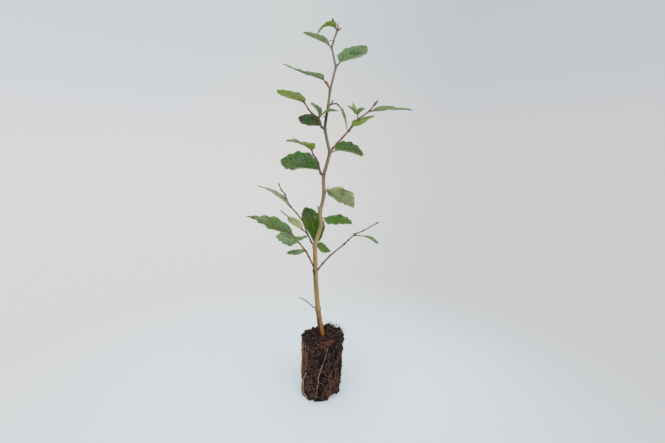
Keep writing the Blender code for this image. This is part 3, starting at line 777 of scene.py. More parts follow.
def pale_root_lines(finish):
    lines = []
    for kind, first, last, places in PALE_ROOTS:
        if kind == finish:
            points = [plug_place(math.radians(turn), z / 1000, -ROOT_PROUD) for turn, z in places]
            points = rounded(points, 5)
            for point in points:
                point += noise.noise_vector(point * 260.0) * 0.0007
            lines.append(tapering(points, first / 1000, last / 1000))
    return lines


def fine_root_lines():
    """Fine roots that wander down the flank; more of them on the left."""
    draw = random.Random(17)
    lines = []
    for _ in range(FINE_ROOTS):
        turn = draw.uniform(-180.0, 180.0)
        if draw.random() < 0.35:
            turn = draw.gauss(-140.0, 18.0)
        z = draw.uniform(10.0, 76.0)
        drift = draw.gauss(0.0, 3.0)
        points = []
        for _ in range(draw.randint(4, 8)):
            drift = 0.8 * drift + draw.gauss(0.0, 1.6)
            turn += drift
            z -= FINE_ROOT_STEP * draw.uniform(0.3, 1.2)
            if z < 1.0:
                break
            proud = draw.uniform(0.0003, 0.0012)
            points.append(plug_place(math.radians(turn), min(z, 74.0) / 1000, -proud))
        if len(points) > 3:
            lines.append(tapering(rounded(points, 3), draw.uniform(0.00010, 0.00020), 0.00007))
    return lines


def chip_lines():
    """The fibres of the bark chip."""
    draw = random.Random(29)
    lines = []
    for k in range(CHIP_FIBRES):
        share = k / (CHIP_FIBRES - 1)
        z = CHIP_HEIGHTS[0] + (CHIP_HEIGHTS[1] - CHIP_HEIGHTS[0]) * share
        right = CHIP_RIGHT[0] + (CHIP_RIGHT[1] - CHIP_RIGHT[0]) * share
        points = []
        for i in range(7):
            turn = CHIP_LEFT + (right - CHIP_LEFT) * i / 6
            point = plug_place(math.radians(turn), min(z, 74.0) / 1000, -0.0004)
            points.append(Vector((point.x, point.y, (z + draw.uniform(-0.4, 0.3)) / 1000)))
        lines.append(tapering(rounded(points, 3), CHIP_FIBRE, CHIP_FIBRE * draw.uniform(0.5, 1.0)))
    return lines


def root_hair_lines():
    """Hairs that stand out of the rim and the flanks; most of them at the back on the right."""
    draw = random.Random(5)
    lines = []
    starts = [(draw.gauss(38.0, 26.0), draw.uniform(74.0, 79.0)) for _ in range(80)]
    starts += [(-172.0, 34.0), (-166.0, 30.0), (-176.0, 28.0), (-8.0, 20.0)]
    starts += [(draw.uniform(0.0, 360.0), draw.uniform(6.0, 74.0)) for _ in range(60)]
    for turn, z in starts:
        angle = math.radians(turn)
        start = plug_place(angle, min(z, 74.0) / 1000, 0.0008 if z < 71.0 else draw.uniform(0.0005, 0.0080))
        start.z = z / 1000
        out = Vector((math.cos(angle), math.sin(angle), draw.uniform(-0.5, 0.9)))
        side = Vector((-math.sin(angle), math.cos(angle), draw.uniform(-1.0, 1.0)))
        reach = draw.uniform(0.0012, 0.0034) if z < 71.0 else draw.uniform(0.0030, 0.0085)
        points = []
        for i in range(6):
            t = i / 5
            bend = side * draw.uniform(0.2, 0.8) * t * t
            points.append(start + (out * (t - 0.45 * t * t) + bend) * reach)
        thick = draw.uniform(0.00014, 0.00026) if z < 71.0 else draw.uniform(0.00020, 0.00038)
        lines.append(tapering(rounded(points, 2), thick, 0.00012))
    return lines


thick_roots = [swept(pale_root_lines(finish), 8, 0.0005, finish, 0.6, 1500.0)
               for finish in (ROOT_PALE, ROOT_GREY, ROOT_ORANGE, ROOT_TAN, ROOT_BROWN)]
fine_lines = fine_root_lines()
fine_roots = [
    swept(fine_lines[0::2], 4, 0.0008, ROOT_BROWN),
    swept(fine_lines[1::2], 4, 0.0008, ROOT_TAN),
    swept(root_hair_lines(), 4, 0.0006, ROOT_HAIR),
    swept(chip_lines(), 8, 0.0006, CHIP_BARK, 0.6, 1500.0),
]
finish_piece("plug_roots", thick_roots + fine_roots)


# Stem: the whole zigzag leader, green-brown and shiny young bark over wood, thinner at every knot where
# a twig or a leaf leaves it. Its foot stands in the peat.
@dataclass
class Internode:
    """A stretch of stem that bows from its first lean to its last, and drifts away from the viewer."""
    length: float
    lean: tuple
    drift: float
    diameter: float


STEM = (
    Internode(length=0.0330, lean=(-9, -7), drift=1, diameter=0.0056),
    Internode(length=0.0485, lean=(-5, -2), drift=1, diameter=0.0053),
    Internode(length=0.0295, lean=(1, -2), drift=-2, diameter=0.0049),
    Internode(length=0.0265, lean=(14, 20), drift=-2, diameter=0.0043),
    Internode(length=0.0175, lean=(-6, -3), drift=1, diameter=0.0040),
    Internode(length=0.0225, lean=(20, 5), drift=2, diameter=0.0039),
    Internode(length=0.0195, lean=(-6, 3), drift=3, diameter=0.0037),
    Internode(length=0.0265, lean=(18, 13), drift=1, diameter=0.0034),
    Internode(length=0.0265, lean=(-14, -10), drift=-2, diameter=0.0030),
    Internode(length=0.0245, lean=(5, 13), drift=-2, diameter=0.0027),
    Internode(length=0.0185, lean=(7, 7), drift=-1, diameter=0.0026),
    Internode(length=0.0245, lean=(16, 13), drift=2, diameter=0.0023),
    Internode(length=0.0210, lean=(-12, -12), drift=3, diameter=0.0020),
    Internode(length=0.0185, lean=(15, 23), drift=2, diameter=0.0017),
)
STEM_FOOT = Vector((0.0020, 0.0, 0.0740))
STEM_SINK = 0.0120
COLLAR_DIAMETER = 0.0058
STEPS_PER_INTERNODE = 4
ROUNDING = 5
KNOT_SWELLING = 0.16
KNOT_REACH = 0.0028
SCAR_SWELLING = 0.13
SCAR_REACH = 0.0007
FLARE = 0.24
FLARE_HEIGHT = 0.080
FLARE_REACH = 0.014


def stem_line():
    """The stem's knots, and its line of (point, radius) from the foot in the peat to the tip."""
    knots = []
    points = [STEM_FOOT - Vector((0.0, 0.0, STEM_SINK)), STEM_FOOT.copy()]
    radii = [COLLAR_DIAMETER / 2, COLLAR_DIAMETER / 2]
    for part in STEM:
        first = radii[-1]
        step = part.length / STEPS_PER_INTERNODE
        for i in range(STEPS_PER_INTERNODE):
            share = (i + 0.5) / STEPS_PER_INTERNODE
            lean = math.radians(part.lean[0] + (part.lean[1] - part.lean[0]) * share)
            drift = math.radians(part.drift)
            points.append(points[-1] + Vector((math.sin(lean), math.sin(drift), math.cos(lean))) * step)
            radii.append(first + (part.diameter / 2 - first) * (i + 1) / STEPS_PER_INTERNODE)
        knots.append(points[-1].copy())
    line = []
    for i, point in enumerate(rounded(points, ROUNDING)):
        low = min(i // ROUNDING, len(radii) - 2)
        radius = radii[low] + (radii[low + 1] - radii[low]) * (i / ROUNDING - low)
        nearest = min((point - knot).length for knot in knots)
        radius *= 1 + KNOT_SWELLING * math.exp(-(nearest / KNOT_REACH) ** 2)
        radius *= 1 + SCAR_SWELLING * math.exp(-(nearest / SCAR_REACH) ** 2)
        radius *= 1 + FLARE * math.exp(-((point.z - FLARE_HEIGHT) / FLARE_REACH) ** 2)
        line.append((point, radius))
    return [STEM_FOOT, *knots], line


KNOTS, STEM_LINE = stem_line()

# Bark colours up the stem, lit and shaded: height, colour on the left and in the streaks, colour on the right
# The left column is mostly painted shade and the right painted light, so the stem looks lit from the right; the
# nearly black rows about 0.33 m up are a painted shadow across the stem.
BARK_COLOURS = (
    (0.075, (0.085, 0.020, 0.008), (0.440, 0.115, 0.022)),
    (0.079, (0.060, 0.018, 0.005), (0.520, 0.215, 0.048)),
    (0.085, (0.070, 0.026, 0.006), (0.500, 0.250, 0.074)),
    (0.091, (0.080, 0.033, 0.008), (0.460, 0.250, 0.090)),
    (0.098, (0.100, 0.040, 0.014), (0.430, 0.250, 0.110)),
    (0.103, (0.150, 0.068, 0.018), (0.370, 0.190, 0.066)),
    (0.108, (0.270, 0.150, 0.042), (0.500, 0.330, 0.115)),
    (0.120, (0.290, 0.165, 0.042), (0.500, 0.335, 0.110)),
    (0.136, (0.230, 0.120, 0.032), (0.420, 0.275, 0.092)),
    (0.146, (0.120, 0.055, 0.012), (0.500, 0.310, 0.115)),
    (0.155, (0.070, 0.030, 0.005), (0.560, 0.330, 0.135)),
    (0.163, (0.250, 0.140, 0.045), (0.540, 0.370, 0.145)),
    (0.172, (0.300, 0.175, 0.062), (0.540, 0.380, 0.155)),
    (0.200, (0.310, 0.210, 0.085), (0.600, 0.450, 0.200)),
    (0.232, (0.260, 0.190, 0.085), (0.500, 0.400, 0.220)),
    (0.246, (0.150, 0.105, 0.038), (0.420, 0.315, 0.145)),
    (0.262, (0.150, 0.110, 0.042), (0.360, 0.280, 0.135)),
    (0.275, (0.190, 0.150, 0.080), (0.280, 0.230, 0.125)),
    (0.298, (0.080, 0.060, 0.026), (0.420, 0.350, 0.235)),
    (0.311, (0.090, 0.072, 0.038), (0.340, 0.290, 0.195)),
    (0.319, (0.110, 0.090, 0.055), (0.250, 0.210, 0.140)),
    (0.325, (0.075, 0.058, 0.028), (0.180, 0.145, 0.085)),
    (0.329, (0.022, 0.014, 0.004), (0.070, 0.050, 0.020)),
    (0.336, (0.022, 0.014, 0.004), (0.080, 0.056, 0.024)),
    (0.341, (0.110, 0.075, 0.032), (0.400, 0.320, 0.190)),
    (0.356, (0.110, 0.075, 0.034), (0.460, 0.370, 0.225)),
    (0.366, (0.115, 0.080, 0.037), (0.460, 0.370, 0.220)),
    (0.390, (0.200, 0.155, 0.115), (0.460, 0.385, 0.305)),
    (0.430, (0.240, 0.180, 0.130), (0.510, 0.420, 0.330)),
)

# Places where the left side is painted nearly black, painted shade: height, half height, strength, how far right
# it reaches
SHADED_LEFT_SIDES = ((0.080, 0.013, 0.85, -0.20), (0.092, 0.007, 0.55, 0.20), (0.1535, 0.0035, 0.75, -0.10))
BARK_SHADE = (0.036, 0.011, 0.002)


def bark_material():
    """Smooth young bark: streaks along the stem, pale pores and dark rings at the knots, with painted light and
    shade across it: a darker left side and a lighter right one, nearly black in places with painted shade."""
    finish, tree, shader = new_material("bark", 0.46, 0.45)
    place = put(tree, "ShaderNodeTexCoord").outputs["Object"]
    up = Term(tree, put(tree, "ShaderNodeSeparateXYZ", {"Vector": place}).outputs["Z"])
    low, high = BARK_COLOURS[0][0], BARK_COLOURS[-1][0]
    tones = [
        colour_ramp(tree, (up - low) / (high - low),
                    [((row[0] - low) / (high - low), row[column]) for row in BARK_COLOURS])
        for column in (1, 2)
    ]
    streaks = put(tree, "ShaderNodeGroup", {}, node_tree=GRAIN)
    for name, item in (("Place", place), ("Scale", 700.0), ("Stretch", 0.12),
                       ("Dark", rgb((0.0, 0.0, 0.0))), ("Light", rgb((1.0, 1.0, 1.0)))):
        feed(tree, streaks.inputs[name], item)
    side = Term(tree, put(tree, "ShaderNodeAttribute", attribute_name="side").outputs["Fac"])
    # Painted light and shade across the stem: its left side takes the left colour, its right side the right one,
    # with the streaks mixed in.
    share = Term(tree, streaks.outputs["Height"]) * 0.45 + side.ramp(-0.5, 0.4) * 0.55
    colour = blend(tree, share, tones[0], tones[1])
    # Painted shade: the left side goes nearly black at the foot and at the second knot.
    for middle, half, strength, edge in SHADED_LEFT_SIDES:
        near = 1.0 - (up - middle).abs().ramp(half * 0.5, half)
        left = 1.0 - side.ramp(edge - 0.25, edge + 0.25)
        colour = blend(tree, near * left * strength, colour, rgb(BARK_SHADE))
    pores = put(tree, "ShaderNodeTexVoronoi", {"Vector": place, "Scale": 420.0, "Randomness": 1.0})
    pore = 1.0 - Term(tree, pores.outputs["Distance"]).ramp(0.10, 0.20)
    colour = blend(tree, pore * 0.4, colour, rgb((0.40, 0.31, 0.20)))
    ring = put(tree, "ShaderNodeAttribute", attribute_name="knot")
    feed(tree, shader.inputs["Base Color"],
         blend(tree, Term(tree, ring.outputs["Fac"]) * 0.45, colour, rgb((0.070, 0.036, 0.020))))
    relief(tree, shader, Term(tree, streaks.outputs["Height"]) * 0.6 + pore, 0.00015)
    return finish


BARK = bark_material()


def mark_knots(mesh, knots, reach):
    """Store how near each point is to a knot."""
    mark = mesh.attributes.new("knot", "FLOAT", "POINT")
    for i, vert in enumerate(mesh.vertices):
        nearest = min((vert.co - knot).length for knot in knots)
        mark.data[i].value = math.exp(-(nearest / reach) ** 2)


def mark_side(mesh, line):
    """Store how far to the right of its line each point of a mesh is, as a share of the radius."""
    heights = [point.z for point, radius in line]
    mark = mesh.attributes.new("side", "FLOAT", "POINT")
    for i, vert in enumerate(mesh.vertices):
        point, radius = line[min(bisect.bisect(heights, vert.co.z), len(line) - 1)]
        mark.data[i].value = (vert.co.x - point.x) / radius


stem = swept([STEM_LINE], 28, 0.0006, BARK, 0.14, 900.0)
mark_knots(stem, KNOTS[1:], 0.0026)
mark_side(stem, STEM_LINE)
finish_piece("stem_bark", [stem], ["stem"])


# Twigs and leaf stalks: thin purple-brown shoots that zigzag from leaf to leaf, and the short green-brown
# stalk of each leaf. Each grows out of a small collar at its knot.
@dataclass
class Leaf:
    """A blade on its own short stalk, which leaves the twig `at` this distance along it."""
    length: float
    width: float
    heading: float
    rise: float
    roll: float = 0.0
    arch: float = 0.0
    fold: float = 10.0
    twist: float = 0.0
    at: float = 0.0
    stalk: tuple = ()
    point: float = 0.0
    tone: str = "mid"
    under: str = "pale"
    wavy: float = 1.0
    tints: tuple = ()


@dataclass
class Bud:
    length: float
    heading: float
    rise: float
    at: float = 0.0
    radius: float = 0.0009


@dataclass
class Spray:
    """A twig from one knot of the stem with what grows on it, and the CAD nodes it stands for."""
    nodes: tuple
    knot: int
    runs: tuple
    slot: str
    leaves: tuple = ()
    radii: tuple = (0.00055, 0.00055)
    lift: float = 0.0
    buds: tuple = ()
    side_at: float = 0.0
    side_runs: tuple = ()
    side_leaves: tuple = ()
    bark: str = "maroon"
    stalk: str = "green"
    knobs: tuple = ()


SPRAYS = (
    Spray(
        nodes=("foliage_02_left", "bough_02_left"), knot=2, lift=0.003, slot="leaf_deep",
        radii=(0.0010, 0.0005),
        runs=((0.005, 220, 50), (0.0125, 212, 63), (0.0085, 222, 61), (0.014, 215, 51),
              (0.012, 205, 53), (0.011, 206, 36), (0.0065, 203, 36)),
        leaves=(
            Leaf(at=0.0260, stalk=((0.0015, 200, 10),), length=0.029, width=0.018,
                 heading=150, rise=8, roll=-15, arch=40, fold=-20, twist=-15, tone="sage", under="pale",
                 tints=(("grey", 0.85, -0.5, 0.13), ("straw", 0.18, -0.3, 0.12))),
            Leaf(at=0.0510, stalk=((0.0025, 245, -10),), length=0.038, width=0.029,
                 heading=276, rise=0, roll=-20, arch=10, fold=20, twist=-30, point=-0.4, tone="sage",
                 tints=(("ash", 0.60, 0.35, 0.12), ("grey", 0.45, -0.6, 0.15), ("grey", 0.97, 0.6, 0.10))),
            Leaf(at=0.0515, stalk=((0.0015, 150, 30),), length=0.056, width=0.035,
                 heading=178, rise=24, roll=-20, arch=5, fold=15, twist=-20, tone="mid",
                 tints=(("blue", 0.22, 0.35, 0.12), ("brown", 0.33, -0.35, 0.09), ("grey", 0.56, -0.5, 0.10),
                        ("ash", 0.72, 0.4, 0.10), ("grey", 0.96, 0.0, 0.10))),
        ),
        buds=(Bud(at=0.0680, length=0.0045, heading=203, rise=36, radius=0.0008),),
    ),
    Spray(
        nodes=("foliage_02_right", "bough_02_right"), knot=2, lift=-0.0005, slot="leaf_blue",
        radii=(0.0010, 0.0005), bark="grey", knobs=((0.0485, 0.6), (0.0545, 0.35), (0.0655, 0.5)),
        runs=((0.0035, 0, 25), (0.010, 5, 52), (0.012, 10, 46), (0.022, 10, 38), (0.0175, 12, 42),
              (0.011, 8, 20), (0.019, 10, 28)),
        leaves=(
            Leaf(at=0.0630, stalk=((0.0095, 355, -3), (0.004, 345, -4)), length=0.019, width=0.012,
                 heading=356, rise=-27, arch=5, fold=15, twist=-15, tone="sage", under="sage",
                 tints=(("grey", 0.35, -0.9, 0.15), ("teal", 0.95, -0.5, 0.15))),
        ),
        buds=(Bud(at=0.0945, length=0.0040, heading=10, rise=28, radius=0.0008),),
    ),
    Spray(
        nodes=("foliage_03_left", "bough_03_left"), knot=3, slot="leaf_pale", radii=(0.0010, 0.00045),
        knobs=((0.0610, 0.9), (0.0775, 0.6), (0.0845, 0.5)),
        runs=((0.0075, 130, 31), (0.013, 134, 51), (0.0155, 130, 59), (0.014, 155, 47),
              (0.012, 159, 44), (0.005, 149, 56), (0.011, 147, 65), (0.007, 162, 46),
              (0.0075, 155, 63)),
        leaves=(
            Leaf(at=0.0630, stalk=((0.002, 200, 30),), length=0.047, width=0.024,
                 heading=216, rise=48, arch=35, fold=5, twist=5, tone="mid", under="palest", wavy=0.4,
                 tints=(("grey", 0.22, -0.6, 0.10),)),
        ),
        side_at=0.0195,
        side_runs=((0.011, 185, 43), (0.018, 188, 44), (0.014, 192, 40)),
        side_leaves=(
            Leaf(at=0.0080, stalk=((0.0025, 250, 10),), length=0.027, width=0.015,
                 heading=226, rise=40, roll=5, fold=10, twist=-25, tone="mid", under="cream"),
        ),
        buds=(Bud(at=0.0920, length=0.0035, heading=155, rise=63, radius=0.0007),),
    ),
    Spray(
        nodes=("foliage_03_back",), knot=3, lift=-0.0010, slot="leaf_deep", radii=(0.0010, 0.0008),
        runs=((0.0060, 88, 10),),
        leaves=(
            Leaf(at=0.0050, stalk=((0.0025, 105, 40),), length=0.052, width=0.030,
                 heading=94, rise=68, roll=50, arch=35, fold=15, twist=45, tone="lush",
                 tints=(("teal", 0.90, 0.1, 0.18), ("ash", 0.66, 0.5, 0.035), ("teal", 0.78, -0.8, 0.12),
                        ("forest", 0.30, 0.0, 0.24), ("brown", 0.42, -1.0, 0.08),
                        ("forest", 0.52, 0.6, 0.12))),
            Leaf(at=0.0050, stalk=((0.0035, 50, 25),), length=0.024, width=0.012,
                 heading=56, rise=-34, roll=80, arch=-30, fold=0, twist=15, tone="mid",
                 tints=(("lime", 0.45, 0.2, 0.20), ("grey", 0.95, 0.3, 0.10))),
        ),
    ),
    Spray(
        nodes=("foliage_04_right",), knot=4, lift=0.0085, slot="leaf_deep", runs=((0.0045, 0, 5),),
        leaves=(
            Leaf(at=0.0045, length=0.044, width=0.023,
                 heading=320, rise=-16, roll=30, arch=-30, fold=15, twist=25, tone="fresh",
                 tints=(("leaf", 0.36, -0.2, 0.20), ("teal", 0.38, -0.95, 0.08), ("grey", 0.92, 0.0, 0.12),
                        ("grey", 0.10, 0.3, 0.08))),
        ),
    ),
    Spray(
        nodes=("foliage_06_right",), knot=6, slot="leaf_pale", runs=((0.0042, 0, 15),),
        leaves=(
            Leaf(at=0.0042, length=0.038, width=0.027,
                 heading=24, rise=-22, roll=-40, arch=30, fold=15, twist=-25, point=-0.4,
                 tints=(("blue", 0.14, -0.3, 0.11), ("olive", 0.42, 0.5, 0.07), ("straw", 0.86, 0.0, 0.14),
                        ("grey", 0.38, 1.0, 0.07), ("straw", 0.45, -0.4, 0.10))),
        ),
        buds=(Bud(at=0.0036, length=0.0042, heading=0, rise=68, radius=0.0009),),
    ),
    Spray(
        nodes=("foliage_07_left",), knot=7, slot="leaf_deep", radii=(0.00095, 0.0006),
        knobs=((0.0065, 0.4), (0.0225, 0.4), (0.0270, 0.4)),
        runs=((0.0042, 214, 14), (0.006, 210, 76), (0.0065, 205, 80), (0.007, 180, 61),
              (0.0035, 180, 46), (0.0065, 151, 72)),
        leaves=(
            Leaf(at=0.0085, stalk=((0.0025, 200, 20),), length=0.055, width=0.036,
                 heading=154, rise=26, roll=-15, arch=30, fold=5, twist=40, tone="deep",
                 tints=(("leaf", 0.18, 0.3, 0.14), ("blue", 0.50, 0.1, 0.10), ("leaf", 0.90, 0.0, 0.14),
                        ("ash", 0.29, -0.95, 0.08), ("brown", 0.07, 0.95, 0.05),
                        ("leaf", 0.60, 0.8, 0.12))),
            Leaf(at=0.0320, stalk=((0.0015, 190, 60),), length=0.052, width=0.027,
                 heading=246, rise=16, roll=-10, arch=20, fold=15, twist=5, point=0.4, tone="mid",
                 under="bright", wavy=0.4,
                 tints=(("lime", 0.22, -0.3, 0.18), ("straw", 0.62, 0.1, 0.22), ("grey", 0.98, 0.0, 0.08))),
        ),
    ),
    Spray(
        nodes=("foliage_08_right",), knot=8, lift=-0.0010, slot="leaf_deep",
        runs=((0.0085, 35, 22),),
        leaves=(
            Leaf(at=0.0085, length=0.045, width=0.029,
                 heading=38, rise=2, roll=20, arch=10, fold=20, twist=-35, tone="mid",
                 tints=(("leaf", 0.32, -0.7, 0.16), ("ash", 0.12, 0.0, 0.08), ("grey", 0.90, 0.3, 0.16),
                        ("teal", 0.60, -0.9, 0.10))),
        ),
    ),
    Spray(
        nodes=("foliage_08_tip", "bough_08_right"), knot=8, lift=0.0005, slot="leaf_bright",
        radii=(0.0012, 0.0006), bark="olive", stalk="amber",
        knobs=((0.0065, 0.3), (0.0125, 0.3), (0.0320, 0.8), (0.0360, 0.3), (0.0635, 0.4)),
        runs=((0.0125, 344, 46), (0.020, 345, 46), (0.0045, 350, 54), (0.0125, 353, 46),
              (0.0135, 0, 35), (0.014, 0, 52)),
        leaves=(
            Leaf(at=0.0370, stalk=((0.0020, 280, 25),), length=0.033, width=0.019,
                 heading=6, rise=44, roll=50, arch=60, fold=-10, twist=60, tone="bright", wavy=0.5,
                 tints=(("spring", 0.12, 0.0, 0.20), ("grey", 0.97, 0.0, 0.12))),
            Leaf(at=0.0460, stalk=((0.007, 70, 72),), length=0.015, width=0.009,
                 heading=192, rise=50, roll=-5, arch=25, fold=5, twist=-5, tone="fresh"),
            Leaf(at=0.0460, stalk=((0.007, 70, 72),), length=0.015, width=0.009,
                 heading=192, rise=76, roll=110, arch=-20, fold=25, twist=-35, tone="fresh"),
            Leaf(at=0.0460, stalk=((0.007, 70, 72),), length=0.014, width=0.008,
                 heading=30, rise=62, roll=15, arch=55, fold=20, twist=-15, tone="mid"),
            Leaf(at=0.0620, stalk=((0.004, 0, 10),), length=0.043, width=0.026,
                 heading=352, rise=4, roll=-10, arch=10, fold=10, twist=-30, tone="mid",
                 under="sage", wavy=0.3, tints=(("olive", 0.08, 0.0, 0.10), ("grey", 0.97, 0.0, 0.10))),
        ),
        buds=(Bud(at=0.0700, length=0.0085, heading=0, rise=52, radius=0.0012),),
    ),
    Spray(
        nodes=("foliage_09_left",), knot=9, slot="leaf_deep", radii=(0.0010, 0.0006),
        knobs=((0.0080, 0.5), (0.0165, 0.5), (0.0400, 0.4)),
        runs=((0.0038, 175, 26), (0.003, 165, 56), (0.0085, 147, 72), (0.0105, 160, 35),
              (0.0055, 164, 49), (0.0105, 155, 57)),
        leaves=(
            Leaf(at=0.0060, stalk=((0.0015, 260, 0),), length=0.036, width=0.020,
                 heading=148, rise=34, roll=-20, arch=30, fold=-5, twist=40, tone="dusky", wavy=0.6,
                 tints=(("forest", 0.50, 0.0, 0.14), ("grey", 0.62, 0.8, 0.12), ("brown", 0.10, 0.0, 0.12),
                        ("teal", 0.86, -0.5, 0.12))),
            Leaf(at=0.0145, stalk=((0.006, 290, 15),), length=0.024, width=0.015,
                 heading=316, rise=30, roll=35, arch=50, fold=10, twist=5, point=0.4, tone="mid"),
            Leaf(at=0.0155, stalk=((0.003, 60, 45),), length=0.025, width=0.013,
                 heading=120, rise=56, roll=20, arch=30, fold=35, twist=-5, tone="mid",
                 tints=(("ash", 0.50, 0.0, 0.10),)),
            Leaf(at=0.0400, stalk=((0.0015, 170, 40),), length=0.043, width=0.026,
                 heading=234, rise=2, roll=-10, arch=-10, fold=10, twist=-15, tone="mid",
                 under="bright", wavy=0.4,
                 tints=(("olive", 0.12, -0.3, 0.14), ("lime", 0.85, 0.2, 0.20), ("ash", 0.55, -0.9, 0.10))),
        ),
    ),
    Spray(
        nodes=("foliage_10_right",), knot=10, slot="leaf_blue", knobs=((0.0085, 0.3), (0.0135, 0.5)),
        runs=((0.0040, 350, 35), (0.0065, 335, 3), (0.0042, 325, -36)),
        leaves=(
            Leaf(at=0.0147, length=0.028, width=0.013,
                 heading=28, rise=-54, roll=20, arch=25, fold=5, point=0.5, tone="sage", under="sage",
                 wavy=0.3, tints=(("ash", 0.30, -0.8, 0.12), ("grey", 0.45, 0.9, 0.14))),
        ),
        buds=(Bud(at=0.0040, length=0.0060, heading=0, rise=62, radius=0.0008),),
    ),
    Spray(
        nodes=("foliage_11_left",), knot=11, slot="leaf_blue", runs=((0.0125, 185, 53),),
        stalk="amber", knobs=((0.0095, 0.3),),
        leaves=(
            Leaf(at=0.0125, length=0.053, width=0.032,
                 heading=220, rise=2, roll=-5, arch=-10, fold=15, twist=30, point=0.75, tone="blue",
                 under="sage", wavy=0.2,
                 tints=(("forest", 0.30, 0.2, 0.11), ("ash", 0.26, -0.8, 0.08), ("leaf", 0.10, 0.0, 0.08),
                        ("grey", 0.72, 0.0, 0.20))),
        ),
        buds=(Bud(at=0.0030, length=0.0080, heading=180, rise=66, radius=0.0011),),
    ),
    Spray(
        nodes=("foliage_12_right",), knot=12, slot="leaf_blue", runs=((0.0075, 5, 47),),
        stalk="amber", knobs=((0.0030, 0.5),),
        leaves=(
            Leaf(at=0.0075, length=0.051, width=0.029,
                 heading=44, rise=32, roll=15, fold=5, twist=-20, tone="blue", wavy=0.5,
                 tints=(("forest", 0.50, 0.35, 0.13), ("forest", 0.53, 0.0, 0.10), ("spring", 0.12, -0.2, 0.10),
                        ("ash", 0.45, 0.9, 0.10), ("grey", 0.97, 0.3, 0.08))),
        ),
    ),
    Spray(
        nodes=("foliage_13_left",), knot=13, slot="leaf_blue", runs=((0.0045, 200, 35),), stalk="amber",
        leaves=(
            Leaf(at=0.0045, length=0.037, width=0.017,
                 heading=226, rise=4, roll=-15, fold=15, twist=-10, tone="blue", under="sage", wavy=0.4,
                 tints=(("ash", 0.82, -0.3, 0.18), ("olive", 0.30, -0.3, 0.10), ("grey", 0.45, 0.6, 0.08))),
        ),
    ),
    Spray(
        nodes=("foliage_14_top",), knot=14, slot="leaf_bright", runs=((0.0035, 215, 45),), stalk="amber",
        leaves=(
            Leaf(at=0.0035, length=0.033, width=0.016,
                 heading=234, rise=2, roll=-10, arch=60, fold=15, twist=-45, tone="bright",
                 under="bright", wavy=0.4,
                 tints=(("lime", 0.50, -0.3, 0.30), ("dark", 1.00, 0.0, 0.15), ("leaf", 0.10, 0.0, 0.14))),
        ),
    ),
)
DEAD_TWIG_RUNS = ((0.006, 195, 16), (0.009, 189, 46), (0.009, 197, 38), (0.005, 205, 19))
STALK_RADIUS = 0.00055
STALK_SINK = 0.0030
COLLAR_SWELLING = 0.55
COLLAR_REACH = 0.0016
TURN_SWELLING = 0.30
TURN_REACH = 0.0009
KNOB_REACH = 0.0011


def direction(heading, rise):
    heading, rise = math.radians(heading), math.radians(rise)
    level = math.cos(rise)
    return Vector((level * math.cos(heading), level * math.sin(heading), math.sin(rise)))


def grow(start, runs):
    """Path of a twig that starts here and follows its runs of (length, heading, rise)."""
    path = [Vector(start)]
    for length, heading, rise in runs:
        path.append(path[-1] + direction(heading, rise) * length)
    return path


def point_along(path, distance):
    for a, b in zip(path, path[1:]):
        run = (b - a).length
        if distance <= run:
            return a.lerp(b, distance / run)
        distance -= run
    return path[-1].copy()


def twig_line(path, first, last, collar=True, knobs=()):
    """A twig's line, thicker at its collar, at every turn where a leaf stood and at its knobs, each a
    place and the share by which it is thicker there."""
    points = []
    for a, b in zip(path, path[1:]):
        pieces = max(2, round((b - a).length / 0.0009))
        points += [a.lerp(b, i / pieces) for i in range(pieces)]
    points.append(path[-1])
    line = []
    for i, point in enumerate(points):
        radius = first + (last - first) * i / (len(points) - 1)
        if collar:
            radius *= 1 + COLLAR_SWELLING * math.exp(-((point - path[0]).length / COLLAR_REACH / 1.8) ** 2)
        nearest = min([(point - turn).length for turn in path[1:-1]], default=1.0)
        radius *= 1 + TURN_SWELLING * math.exp(-(nearest / TURN_REACH) ** 2)
        for place, swelling in knobs:
            radius *= 1 + swelling * math.exp(-((point - place).length / KNOB_REACH) ** 2)
        line.append((point, radius))
    return line


KNOT_BROWN = (0.045, 0.026, 0.018)
TWIG_KNOT_REACH = 0.0016
TWIG_BARKS = {
    "maroon": grain_material("twig_maroon", (0.135, 0.060, 0.040), (0.350, 0.205, 0.150), 900.0, 0.55, 0.4,
                             0.4, ring=KNOT_BROWN),
    "olive": grain_material("twig_olive", (0.150, 0.088, 0.040), (0.420, 0.280, 0.150), 900.0, 0.55, 0.4,
                            0.4, ring=KNOT_BROWN),
    "grey": grain_material("twig_grey", (0.150, 0.095, 0.062), (0.380, 0.280, 0.210), 900.0, 0.55, 0.4,
                           0.4, ring=KNOT_BROWN),
}
STALK_SKINS = {
    "green": grain_material("stalk_green", (0.170, 0.115, 0.050), (0.340, 0.250, 0.120), 700.0, 0.5, 0.4,
                            ring=KNOT_BROWN),
    "amber": grain_material("stalk_amber", (0.180, 0.085, 0.035), (0.400, 0.240, 0.120), 700.0, 0.5, 0.4,
                            ring=KNOT_BROWN),
}
DEAD_BARK = grain_material("dead_bark", (0.150, 0.105, 0.090), (0.400, 0.320, 0.290), 1100.0, 0.8, 0.2, 0.4)

